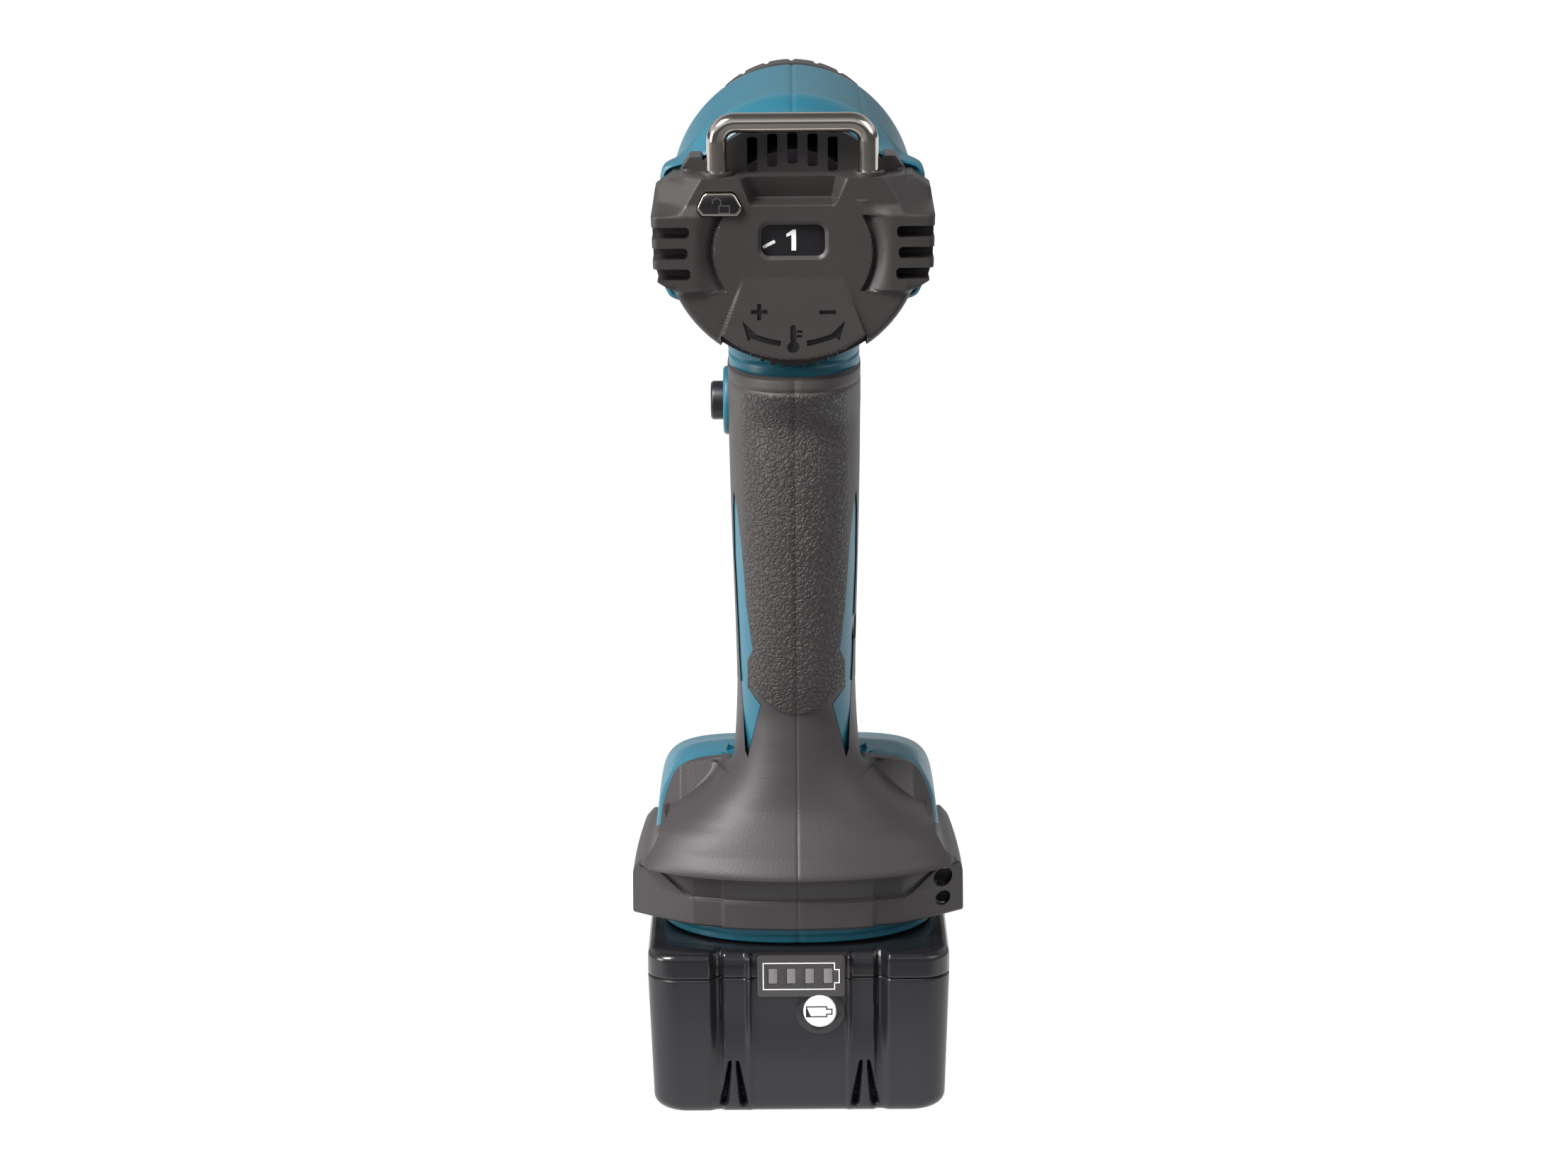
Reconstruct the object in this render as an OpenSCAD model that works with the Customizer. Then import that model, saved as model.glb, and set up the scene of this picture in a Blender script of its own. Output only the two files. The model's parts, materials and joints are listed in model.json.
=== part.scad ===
// Cordless heat gun on a slide-on battery pack, as an assembly of separate pieces.
// Millimetres. +Z is up, the nozzle points to +Y and the temperature dial faces -Y.
// The origin is the centre of the battery pack's flat underside.

/* [Battery pack] */
// Width of the pack across the tool
pack_w = 75; // [74:1:92]
// Length of the pack along its slide
pack_l = 115; // [112:1:140]
// Height of the pack's deck
pack_h = 42.4; // [42:0.2:52]
// Height of the parting line between the two case shells
pack_split = 35.8; // [30:0.2:38]
// Wall of the pack's case
pack_wall = 2.2; // [1.6:0.1:2.4]
// Radius of the pack's upright corners
pack_corner = 7; // [4:0.5:10]
// Diameter of one cell
cell_d = 18.3; // [15:0.1:18.5]
// Length of one cell
cell_l = 65; // [54:0.5:66]
// Half the width of the slide rails' head
rail_w = 29.5; // [24:0.5:31]
// Height of the slide rails above the deck
rail_h = 10; // [8:0.5:12]

/* [Barrel] */
// Height of the barrel's axis
barrel_z = 220; // [200:1:270]
// Outer radius of the barrel
barrel_r = 31; // [30:0.5:38]
// Wall of the barrel and of the handle
shell_wall = 2.5; // [2:0.1:3]
// Distance from the rear plane to the front end of the plastic barrel
barrel_l = 137.5; // [136:0.5:170]
// Depth of the rear cover
cover_depth = 22; // [21:0.5:24]
// Outer radius of the heat shield ring at the front
collar_r = 26.8; // [24:0.2:30]
// Length of the heat shield ring
collar_l = 8.5; // [6:0.5:14]

/* [Nozzle and heater] */
// Outer radius of the steel nozzle tube, where accessory nozzles slide on
nozzle_r = 17.25; // [14:0.05:20.7]
// Length of nozzle tube that stands out of the ring
nozzle_out = 16; // [12:0.5:24]
// Sheet thickness of the nozzle tube
nozzle_wall = 0.6; // [0.5:0.1:1]
// Radius of the heating wire's turns
coil_r = 11.5; // [8:0.5:12]
// Number of turns of heating wire
coil_turns = 9; // [5:1:12]

/* [Motor and fan] */
// Outer radius of the motor's steel can
motor_r = 18; // [14:0.5:20]
// Length of the motor's steel can
motor_l = 38; // [30:1:40]
// Radius of the motor shaft
shaft_r = 1.5; // [1.2:0.1:2]
// Radius of the fan impeller
fan_r = 26; // [20:0.5:27]

/* [Handle and base] */
// Width of the handle at its widest
handle_w = 32.6; // [31:0.2:38]
// Thickness of the soft grip and boot over the housing
grip_t = 2.2; // [1.6:0.1:2.6]
// Width of the hard base above the pack
base_w = 71.8; // [70:0.2:74]
// Length of the base from its rear to its front
base_l = 94; // [88:1:100]
// Width over the side bumpers
bumper_w = 82.8; // [80:0.2:90]
// Travel of the trigger
trigger_travel = 6.5; // [4:0.5:8]
// Radius of the lock-off bolt
lock_r = 4.8; // [4:0.1:5.2]
// Distance that the lock-off bolt stands out of its boss
lock_out = 3; // [2:0.5:4]

/* [Dial and hook] */
// Radius of the temperature dial
dial_r = 18.7; // [15:0.1:19.5]
// Thickness of the temperature dial
dial_t = 4; // [3:0.5:4.5]
// Number of grip teeth on the dial's rim
dial_teeth = 30; // [20:1:45]
// Width of the window over the dial
window_w = 17.3; // [14:0.1:18]
// Height of the window over the dial
window_h = 9.5; // [8:0.1:10]
// Wire diameter of the hanging hook
hook_d = 4.8; // [4:0.1:5.6]
// Distance between the centres of the hook's legs
hook_w = 36; // [34:0.5:40]
// Distance that the hook slides down for storage
hook_travel = 7; // [5:0.5:7.5]

/* [Fits] */
// Gap beside pieces that slide or press
slide_gap = 0.3; // [0.2:0.05:0.5]
// Radial gap between a shaft and its bush
run_gap = 0.04; // [0.02:0.01:0.08]
// Gap between pieces that seat against each other
seat_gap = 0.1; // [0.05:0.05:0.2]

/* [Hidden] */
$fn = 64;
round_n = 4; // points along each rounded corner
rear_y = -pack_l / 2;
base_z = pack_h + 0.5;                       // underside of the base
lip_z = base_z + 4.4;                        // underside of the rubber boot
base_top = base_z + 40.4;                    // crown of the base
waist_z = base_z + 56;                       // foot of the soft grip
grip_top = barrel_z - barrel_r - 6;          // upper edge of the soft grip
grip_h = grip_top - waist_z;
neck_w = handle_w / 2;
collar_y = barrel_l;
tip_y = barrel_l + collar_l + nozzle_out;
lock_z = grip_top - 8;
lock_y = 35;
boss_r = lock_r + 3.7;
boss_x = neck_w + 1.3;                        // face of the raised boss on the left
bolt_end = neck_w - 1.2;                      // where the lock-off bolt ends on the right
switch_top = lock_z - lock_r - 2;
switch_h = 28;
trigger_z = grip_top - 27;
trigger_h = 28;
motor_y = 26;
fan_y = motor_y + motor_l + 6;
fan_t = 12;
guide_y = fan_y + fan_t + 2;
guide_l = 12;
shaft_end = fan_y + fan_t - 1;
dial_z = barrel_z - 12.5;
dial_y = 4.2;
board_y = 14.5;
board_t = 1.6;
pot_r = 8;
pot_shaft_r = 3;
plate_y = 1.6;                               // rear face of the cover's plate
plate_t = 2.2;
cover_r = barrel_r - 0.2;
cover_top = barrel_z + 16.5;                 // tops of the hook's feet
hook_y = 6.6;
hook_top = cover_top + 11;                   // centre of the hook's bar
hook_bend = 4.4;
hook_foot = cover_top - hook_travel;         // ends of the hook's legs
deck_gap = 0.5;
stem_w = rail_w - 4.5;
head_z = pack_h + 5.6;
rail_top = pack_h + rail_h;
channel_top = rail_top + deck_gap;
rail_rear = 20.5;
rail_front = base_l - 2;
blade_x = [-10, 0, 10];
blade_t = 0.8;
leaf_t = 0.5;
cell_pitch_y = cell_d + 1;
cell_pitch_z = cell_d + 0.5;
cell_low = pack_wall + 0.4 + cell_d / 2;
case_side = pack_w / 2 - pack_wall;
screw_r = 1.4;
screw_head_r = 2.8;
screw_boss_r = 4.2;
latch_y = pack_l - 8;
latch_w = 26;
latch_low = pack_split - 8;
latch_travel = 3;

housing_color = "#2b7f97";
cover_color = "#3a3636";
rubber_color = "#403c3c";
steel_color = "#c9c6c0";

// Screws across the housing: distance from the rear plane, height, half length, reach of the boss
SCREWS = [
    [118, barrel_z - barrel_r + 8, 12, 15], [118, barrel_z + barrel_r - 8, 12, 15],
    [17, grip_top - 4.6, 9, neck_w - 6.8], [24, waist_z + 21, 9, neck_w - 6.2],
    [86, base_z + 24, 16, base_w / 2 - 4], [30, base_z + 24, 16, base_w / 2 - 4.5]
];

// ---- shared shapes ----

// A distance measured forward from the tool's rear plane, as a Y coordinate
function fwd(d) = rear_y + d;

// Rounded rectangle, clockwise from above
function round_rect(w, l, r, cx = 0, cy = 0) = [
    for (q = [0:3], k = [0:round_n])
        let (a = 90 - 90 * q - 90 * k / round_n,
             sx = (q == 0 || q == 1) ? 1 : -1, sy = (q == 0 || q == 3) ? 1 : -1)
        [cx + sx * (w / 2 - r) + r * cos(a), cy + sy * (l / 2 - r) + r * sin(a)]
];

function lift(points, z) = [for (p = points) [p[0], p[1], z]];

// Skin through rings that all have the same number of points, clockwise from above
module loft(rings) {
    n = len(rings[0]);
    m = len(rings);
    sides = [for (k = [0:m - 2], i = [0:n - 1], t = [0, 1])
        let (j = (i + 1) % n)
        t == 0 ? [k * n + i, k * n + j, (k + 1) * n + j]
               : [k * n + i, (k + 1) * n + j, (k + 1) * n + i]];
    caps = [[for (i = [n - 1:-1:0]) i], [for (i = [0:n - 1]) (m - 1) * n + i]];
    polyhedron([for (r = rings, p = r) p], concat(sides, caps));
}

function signed_pow(v, e) = sign(v) * pow(abs(v), e);

// The +X half of one section [z, rear, widest, front, half width, rear power, front power]
function half_ring(s, grow = 0, over = 0, steps = 14) =
    let (points = [for (k = [0:steps])
            let (a = 90 - 180 * k / steps,
                 p = 2 / (a >= 0 ? s[6] : s[5]),
                 reach = (a >= 0 ? s[3] - s[2] : s[2] - s[1]) + grow)
            [max(0, (s[4] + grow) * pow(max(0, cos(a)), p)),
             fwd(s[2]) + reach * signed_pow(sin(a), p), s[0]]],
         first = points[0], last = points[steps])
    over > 0 ? concat([[-over, first[1], s[0]]], points, [[-over, last[1], s[0]]]) : points;

// Half of a lofted body; over carries it past the middle plane, as a cutting tool needs
module half_loft(sections, grow = 0, over = 0) {
    loft([for (s = sections) half_ring(s, grow, over)]);
}

// Local +Z along the barrel, starting d forward of the rear plane
module along_barrel(d, z = barrel_z) {
    translate([0, fwd(d), z]) rotate([-90, 0, 0]) children();
}

module across(d, z) {
    translate([0, fwd(d), z]) rotate([0, 90, 0]) children();
}

module tube(r_out, r_in, h) {
    difference() {
        cylinder(r = r_out, h = h);
        translate([0, 0, -1]) cylinder(r = r_in, h = h + 2);
    }
}

// A box centred on X = 0, from d0 to d1 forward of the rear plane and z0 to z1 high
module bar(w, d0, d1, z0, z1) {
    translate([-w / 2, fwd(d0), z0]) cube([w, d1 - d0, z1 - z0]);
}

module spring_turn_points(r, wire, turns, length) {
    steps = 10;
    count = turns * steps;
    loft_rings = [for (i = [0:count])
        let (a = 360 * i / steps, z = wire + (length - 2 * wire) * i / count)
        [for (k = [0:3])
            let (b = -90 * k, q = r + wire * cos(b))
            [q * cos(a), q * sin(a), z + wire * sin(b)]]];
    loft(loft_rings);
}

module coil_spring(r, wire, turns, length) {
    spring_turn_points(r, wire, turns, length);
}

// Round lead swept through hand-placed points, each ring square to its neighbours' line
module lead(points, r) {
    n = len(points);
    sides = 6;
    rings = [for (i = [0:n - 1])
        let (a = points[max(0, i - 1)], b = points[min(n - 1, i + 1)],
             t = (b - a) / norm(b - a),
             u = cross(t, [1, 0, 0]) / norm(cross(t, [1, 0, 0])),
             v = cross(t, u))
        [for (k = [0:sides - 1])
            let (c = -360 * k / sides) points[i] + r * cos(c) * u + r * sin(c) * v]];
    loft(rings);
}

// ---- sections of the moulded body: z, rear, widest, front, half width, powers ----

function grip_z(share) = waist_z + share * grip_h;

handle_sections = [
    [base_z + 26, 16, 32, 60, neck_w - 0.8, 2.3, 2.6],
    [base_z + 36, 15, 32, 57, neck_w - 0.8, 2.3, 2.6],
    [waist_z - 7, 14.5, 32, 54, neck_w - 1.3, 2.3, 2.6],
    [grip_z(0), 14, 32, 52, neck_w - 1.5, 2.3, 2.6],
    [grip_z(0.11), 11, 31, 50.5, neck_w - 1.5, 2.3, 2.6],
    [grip_z(0.25), 8.4, 30, 50, neck_w - 1.3, 2.3, 2.6],
    [grip_z(0.42), 6.8, 30, 50.5, neck_w - 0.9, 2.3, 2.6],
    [grip_z(0.6), 6, 30, 52, neck_w - 0.5, 2.3, 2.6],
    [grip_z(0.78), 6.6, 30, 54, neck_w - 0.2, 2.3, 2.6],
    [grip_z(0.86), 7.2, 30, 55, neck_w - 0.1, 2.3, 2.6],
    [grip_z(0.92), 5, 30, 56, neck_w, 2.4, 2.6],
    [grip_z(0.965), 2.6, 30, 57, neck_w, 2.5, 2.6],
    [grip_z(1), 3.2, 30, 58, neck_w, 2.6, 2.6]
];
neck_sections = [
    [grip_top, 9.4, 30, 61, neck_w - 0.2, 2.6, 3],
    [grip_top + 6, 9.4, 31, 64, neck_w - 0.2, 2.6, 3],
    [grip_top + 17, 9.4, 31, 68, neck_w - 0.2, 2.6, 3]
];
base_half = base_w / 2;
base_sections = [
    [base_z, 6.2, 36, base_l + 6, base_half - 0.6, 2.3, 6],
    [base_z + 19, 5, 36, base_l + 6, base_half, 2.3, 6],
    [base_z + 28, 13, 38, base_l + 3, base_half - 0.9, 2.4, 5],
    [base_z + 35, 25, 42, base_l - 22, base_half - 4, 2.5, 4],
    [base_z + 39, 31, 44, base_l - 37, base_half - 8.6, 2.5, 3.5],
    [base_top, 35, 44, base_l - 42, base_half - 15, 2.5, 3]
];
boot_sections = [
    [lip_z, 3.5, 36, 74, base_half + 1.6, 3.6, 3],
    [lip_z + 7.3, 3.5, 36, 74, base_half + 1.8, 3.8, 3],
    [lip_z + 13.7, 0, 36, 74, base_half + 2, 4.4, 3],
    [lip_z + 19, 3.2, 36, 72, base_half + 1.1, 4, 3],
    [lip_z + 25, 7.6, 36, 66, base_half - 3, 3, 3],
    [lip_z + 31, 10.4, 34, 60, base_half - 10.5, 2.2, 2.8],
    [lip_z + 38, 12.2, 33, 57, neck_w + 2.4, 2.2, 2.6],
    [lip_z + 45, 13.4, 32, 54, neck_w - 0.6, 2.3, 2.6],
    [waist_z, 14, 32, 52, neck_w - 1.5, 2.3, 2.6]
];
bumper_sections = [
    [lip_z - 0.4, 12, 40, 84, bumper_w / 2 - 0.9, 3, 4],
    [lip_z + 1.6, 11, 40, 85, bumper_w / 2, 3, 4],
    [lip_z + 12, 11, 40, 85, bumper_w / 2, 3, 4],
    [lip_z + 17, 12, 40, 84, bumper_w / 2 - 2, 3, 4],
    [lip_z + 20.5, 14, 40, 82, base_half + 0.6, 3, 4]
];
case_taper = 1.2;

// The coloured stripe down each flank of the handle, as seen from behind
stripe_outline = [
    [neck_w - 1.7, grip_z(0.69)], [neck_w - 2.5, grip_z(0.6)], [neck_w - 3.4, grip_z(0.4)],
    [neck_w - 5.2, grip_z(0.235)], [neck_w - 4, grip_z(0.215)], [neck_w - 4.1, grip_z(0.125)],
    [neck_w - 7, grip_z(0.06)], [neck_w - 3.6, grip_z(-0.08)], [neck_w - 3, grip_z(-0.08)],
    [neck_w - 3, grip_z(0.3)]
];

module stripe_prism() {
    translate([0, fwd(26), 0]) rotate([90, 0, 0]) linear_extrude(30) polygon(stripe_outline);
}

module screw_holes(r, x0, x1) {
    for (s = SCREWS) translate([x0, 0, 0]) across(s[0], s[1]) cylinder(r = r, h = x1 - x0);
}

// ---- housing ----

module barrel_outside() {
    along_barrel(cover_depth) rotate_extrude() polygon([
        [0, -5], [cover_r - shell_wall - 0.3, -5], [cover_r - shell_wall - 0.3, 0], [barrel_r, 0],
        [barrel_r, 100 - cover_depth], [collar_r + 0.6, barrel_l - cover_depth],
        [0, barrel_l - cover_depth]
    ]);
}

module barrel_inside() {
    inner = barrel_r - shell_wall;
    along_barrel(cover_depth) rotate_extrude() polygon([
        [0, -6], [inner - 2.6, -6], [inner - 2.6, 1], [inner, 4],
        [inner, 99 - cover_depth], [collar_r - shell_wall, barrel_l - cover_depth + 1],
        [0, barrel_l - cover_depth + 1]
    ]);
}

module motor_rib() {
    along_barrel(motor_y + 3) difference() {
        cylinder(r = barrel_r - 1, h = 2);
        translate([0, 0, -1]) cylinder(r = motor_r + seat_gap, h = 4);
        for (a = [30:60:330]) rotate([0, 0, a]) translate([motor_r + 2, -5, -1]) cube([5, 10, 4]);
    }
}

module battery_channel() {
    bar(2 * stem_w + 2 * slide_gap + 0.4, rail_rear - 2, 140, base_z - 1, head_z);
    bar(2 * rail_w + 2 * slide_gap, rail_rear - 2, 140, head_z - slide_gap, channel_top);
}

module terminal_opening() {
    bar(34, rail_rear + 1.5, rail_rear + 23.5, channel_top - 1, channel_top + 4);
}

module trigger_opening() {
    bar(15, 42, 74, trigger_z - 0.8, trigger_z + trigger_h + 0.8);
}

module lock_boss(reach) {
    across(lock_y, lock_z) cylinder(r = boss_r, h = reach);
}

module lock_bore() {
    translate([-40, 0, 0]) across(lock_y, lock_z) cylinder(r = lock_r + 0.08, h = 80);
}

module grip_core(over = 0) {
    half_loft(handle_sections, -grip_t, over);
}

module housing_solid(boss_reach) {
    barrel_outside();
    grip_core(1);
    half_loft(neck_sections);
    half_loft(base_sections);
    intersection() {
        half_loft(handle_sections);
        stripe_prism();
    }
    difference() {
        lock_boss(boss_reach);
        bar(200, -10, 200, grip_top - 0.01, 300);
    }
}

// Room for the rear cover where the neck meets it; the housing's spigot stays
module cover_clearance() {
    along_barrel(-5) cylinder(r = cover_r + seat_gap, h = cover_depth);
    along_barrel(cover_depth - 5.1) tube(cover_r + seat_gap, cover_r - shell_wall - 0.25, 5.1);
}

module housing_hollow() {
    barrel_inside();
    half_loft(handle_sections, -grip_t - shell_wall, 1);
    half_loft(neck_sections, -shell_wall, 1);
    intersection() {
        translate([0, 0, -shell_wall]) half_loft(base_sections, -shell_wall, 1);
        bar(200, -10, 200, channel_top + 2.2, base_top + 5);
    }
    battery_channel();
    terminal_opening();
    trigger_opening();
}

// The +X half; the other half is its mirror image, apart from the screw bores
module housing_half(bore_r, head_r, boss_reach) {
    difference() {
        union() {
            difference() {
                housing_solid(boss_reach);
                housing_hollow();
            }
            intersection() {
                motor_rib();
                bar(200, 0, 200, barrel_z - barrel_r, barrel_z + barrel_r);
            }
            for (s = SCREWS) across(s[0], s[1]) cylinder(r = screw_boss_r, h = s[3]);
        }
        translate([-100, -200, -10]) cube([100, 500, 500]);
        lock_bore();
        cover_clearance();
        for (s = SCREWS) {
            translate([-1, 0, 0]) across(s[0], s[1]) cylinder(r = bore_r, h = s[2] - 3);
            if (head_r > 0) translate([s[2] - 4, 0, 0]) across(s[0], s[1]) cylinder(r = head_r, h = 40);
        }
    }
}

module housing_right() {
    color(housing_color) housing_half(screw_r + 0.2, screw_head_r + 0.3, bolt_end + 0.2);
}

module housing_left() {
    color(housing_color) mirror([1, 0, 0]) housing_half(screw_r + 0.05, 0, boss_x);
}

module housing_screws() {
    color(steel_color) for (s = SCREWS) {
        translate([4 - s[2], 0, 0]) across(s[0], s[1]) cylinder(r = screw_r, h = 2 * s[2] - 8);
        translate([s[2] - 4, 0, 0]) across(s[0], s[1]) cylinder(r = screw_head_r, h = 2.2);
    }
}

module grip_half(screw_hole) {
    difference() {
        intersection() {
            half_loft(handle_sections);
            bar(200, -10, 200, waist_z, grip_top);
        }
        grip_core(1);
        stripe_prism();
        trigger_opening();
        translate([0, 0, 0]) across(lock_y, lock_z) cylinder(r = boss_r + seat_gap, h = 60);
        if (screw_hole) for (s = SCREWS) across(s[0], s[1]) cylinder(r = screw_head_r + 0.4, h = 60);
    }
}

module grip_right() { color(rubber_color) grip_half(true); }
module grip_left() { color(rubber_color) mirror([1, 0, 0]) grip_half(false); }

module boot_half() {
    difference() {
        union() {
            half_loft(boot_sections);
            half_loft(bumper_sections);
        }
        grip_core(1);
        half_loft(base_sections, 0.02, 1);
        intersection() {
            half_loft(handle_sections, 0.02, 1);
            stripe_prism();
        }
        screw_holes(screw_head_r + 0.4, 5, 60);
    }
}

module boot_right() { color(rubber_color) boot_half(); }
module boot_left() { color(rubber_color) mirror([1, 0, 0]) boot_half(); }

// ---- rear cover, hook and dial ----

module cover_cup() {
    along_barrel(0) rotate_extrude() polygon([
        [0, plate_y], [cover_r - 4, plate_y], [cover_r - 1.2, plate_y + 0.9], [cover_r, plate_y + 3.4],
        [cover_r, cover_depth - seat_gap], [cover_r - shell_wall, cover_depth - seat_gap],
        [cover_r - shell_wall, plate_y + 5], [cover_r - shell_wall - 2, plate_y + plate_t],
        [0, plate_y + plate_t]
    ]);
}

// Vented swelling on each side
module cover_bulge(side) {
    translate([side * (barrel_r - 3.6), fwd(3), barrel_z - 0.8])
        difference() {
            rotate([-90, 0, 0]) linear_extrude(cover_depth - 3.4)
                polygon(round_rect(13.2, 27, 4));
            for (k = [-1:1]) translate([side * 3.2, -4, 5 * k]) cube([9, 2 * cover_depth - 16, 2.9], center = true);
        }
}

module hook_tower(side) {
    translate([side * hook_w / 2, fwd(plate_y - 0.6), 0])
        translate([-5.2, 0, barrel_z + 4]) cube([10.4, 10, cover_top - barrel_z - 4]);
}

module cover_grille() {
    intersection() {
        difference() {
            bar(31, 11, 13.2, barrel_z + 12, barrel_z + 29);
            for (k = [-2:2]) translate([4.8 * k, fwd(12), barrel_z + 20]) cube([2.5, 6, 9], center = true);
        }
        along_barrel(0) cylinder(r = cover_r - 0.5, h = 40);
    }
}

// Sloping panel below the window, thickest at the cover's lower lip
module cover_ramp() {
    intersection() {
        translate([0, 0, barrel_z]) rotate([90, 0, 90]) translate([0, 0, -16]) linear_extrude(32)
            polygon([[fwd(plate_y + 1), -12], [fwd(plate_y - 0.1), -12], [fwd(0), -26],
                     [fwd(0), -28], [fwd(plate_y + 1), -28]]);
        translate([0, fwd(10), barrel_z - 7]) rotate([90, 0, 0]) linear_extrude(20)
            polygon([[-9, 0], [9, 0], [16, -22], [-16, -22]]);
    }
}

module dial_room() {
    along_barrel(dial_y - slide_gap, dial_z) cylinder(r = dial_r + 2.5 * slide_gap, h = dial_t + 2 * slide_gap);
}

module rear_cover() {
    color(cover_color) difference() {
        union() {
            difference() {
                union() {
                    cover_cup();
                    for (side = [-1, 1]) cover_bulge(side);
                }
                along_barrel(plate_y + plate_t) cylinder(r = cover_r - shell_wall - 2, h = 40);
                along_barrel(plate_y + 5) cylinder(r = cover_r - shell_wall, h = 40);
                bar(80, -1, 11, cover_top, barrel_z + 40);
                bar(32, 10, 40, barrel_z + 15, barrel_z + 40);
            }
            for (side = [-1, 1]) hook_tower(side);
            bar(2 * 15.5, plate_y, 13, cover_top - 9.5, cover_top - 7.5);
            cover_grille();
            cover_ramp();
            for (side = [-1, 1]) translate([side * (dial_r + 2.9), 0, 0])
                along_barrel(plate_y + 1, dial_z + 6.5) cylinder(r = 2.4, h = board_y - plate_y - 1);
        }
        // pocket between the hook's feet
        bar(23, -1, 11.5, cover_top - 7.5, barrel_z + 40);
        // window
        translate([0, fwd(-1), barrel_z]) rotate([-90, 0, 0])
            linear_extrude(6) polygon(round_rect(window_w, window_h, 2.2));
        dial_room();
        for (side = [-1, 1]) translate([side * hook_w / 2, fwd(hook_y), barrel_z - 2])
            cylinder(r = hook_d / 2 + 0.1, h = 40);
        button_shape(-1, button_y + button_travel + slide_gap, slide_gap);
        spring_pocket();
    }
}

button_x = -hook_w / 2 + 0.4;
button_z = barrel_z + 9;
button_y = 2.4;                              // inner face of the hook button
button_travel = 1;
spring_x = button_x + 3.4;

module button_shape(d0, d1, grow) {
    translate([button_x, fwd(d1), button_z]) rotate([90, 0, 0]) linear_extrude(d1 - d0)
        polygon([[-4.9 - grow, -2.7 - grow], [4.9 + grow, -2.7 - grow], [4.9 + grow, -0.8],
                 [3.5 + grow, 2.7 + grow], [-3.5 - grow, 2.7 + grow], [-4.9 - grow, -0.8]]);
}

module spring_pocket() {
    translate([spring_x, fwd(2), button_z]) rotate([-90, 0, 0]) cylinder(r = 1.3, h = 3.7);
}

module hook_button() {
    color(steel_color) button_shape(0.2, button_y, 0);
}

module hook_button_spring() {
    color(steel_color) translate([spring_x, fwd(button_y + button_travel + 0.1), button_z])
        rotate([-90, 0, 0]) coil_spring(0.9, 0.2, 3, 2.1);
}

module hook() {
    half = hook_w / 2 - hook_bend;
    color(steel_color) translate([0, fwd(hook_y), 0]) {
        for (side = [-1, 1]) {
            translate([side * hook_w / 2, 0, hook_foot])
                cylinder(d = hook_d, h = hook_top - hook_bend - hook_foot);
            translate([side * half, 0, hook_top - hook_bend]) rotate([90, 0, 0])
                rotate([0, 0, side > 0 ? 0 : 90]) rotate_extrude(angle = 90)
                    translate([hook_bend, 0]) circle(d = hook_d);
        }
        translate([-half, 0, hook_top]) rotate([0, 90, 0]) cylinder(d = hook_d, h = 2 * half);
    }
}

module temperature_dial() {
    color("#1c1a1b") along_barrel(dial_y, dial_z) difference() {
        cylinder(r = dial_r, h = dial_t);
        for (k = [0:dial_teeth - 1]) rotate([0, 0, 360 * (k + 0.5) / dial_teeth])
            translate([dial_r + 0.35, 0, -1]) cylinder(r = 1, h = dial_t + 2);
        translate([0, 0, 0.8]) cylinder(r = pot_shaft_r + seat_gap, h = dial_t);
    }
}

module pot_shaft() {
    color("#d8d4c8") along_barrel(dial_y + 0.9, dial_z) cylinder(r = pot_shaft_r, h = board_y - dial_y - 3);
}

module potentiometer() {
    color("#2a5a8a") along_barrel(dial_y + dial_t + 0.6, dial_z) difference() {
        cylinder(r = pot_r, h = board_y - dial_y - dial_t - 0.6 - seat_gap);
        translate([0, 0, -1]) cylinder(r = pot_shaft_r + run_gap, h = board_y - dial_y - dial_t);
    }
}

module control_board() {
    color("#2f6b3a") bar(40, board_y, board_y + board_t, barrel_z - 18, barrel_z + 6);
    color("#222222") bar(12, board_y + board_t, board_y + board_t + 2, barrel_z - 14, barrel_z - 6);
    color("#8a8a92") translate([14, fwd(board_y + board_t), barrel_z - 12])
        rotate([-90, 0, 0]) cylinder(r = 3.4, h = 4);
}

// ---- motor, fan and heater ----

module motor_can() {
    color("#9a9aa0") along_barrel(motor_y) rotate_extrude() polygon([
        [motor_r - 1.6, 0], [motor_r, 0], [motor_r, motor_l], [5.6, motor_l],
        [5.6, motor_l - 1.6], [motor_r - 1.6, motor_l - 1.6]
    ]);
}

module motor_magnets() {
    color("#4a4a50") along_barrel(motor_y + 5) difference() {
        tube(motor_r - 1.7, motor_r - 5, motor_l - 10);
        for (a = [0, 90]) rotate([0, 0, a]) translate([-2, -30, -1]) cube([4, 60, motor_l]);
    }
}

module motor_endbell() {
    color("#1f1f22") along_barrel(motor_y - 2) difference() {
        union() {
            cylinder(r = motor_r, h = 2 - seat_gap);
            cylinder(r = motor_r - 1.7, h = 4);
        }
        translate([0, 0, -1]) cylinder(r = 3.6, h = 8);
        for (a = [45:90:315]) rotate([0, 0, a]) translate([10, 0, -1]) cylinder(r = 2.6, h = 8);
    }
}

module bush(d) {
    along_barrel(d) tube(3.5, shaft_r + run_gap, 4);
}

module motor_bushes() {
    color("#b08a4a") {
        bush(motor_y - 2);
        bush(motor_y + motor_l + seat_gap);
    }
}

module commutator() {
    color("#b8733a") along_barrel(motor_y + 2.8) difference() {
        cylinder(r = 4, h = 5);
        translate([0, 0, -1]) cylinder(r = shaft_r, h = 8);
        for (a = [0:72:288]) rotate([0, 0, a]) translate([3.2, -0.2, -1]) cube([2, 0.4, 8]);
    }
}

module motor_brushes() {
    color("#55504c") for (side = [-1, 1]) along_barrel(motor_y + 3.4)
        translate([side * 8.2 - 4, -1.8, 0]) cube([8, 3.6, 3.6]);
}

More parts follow.
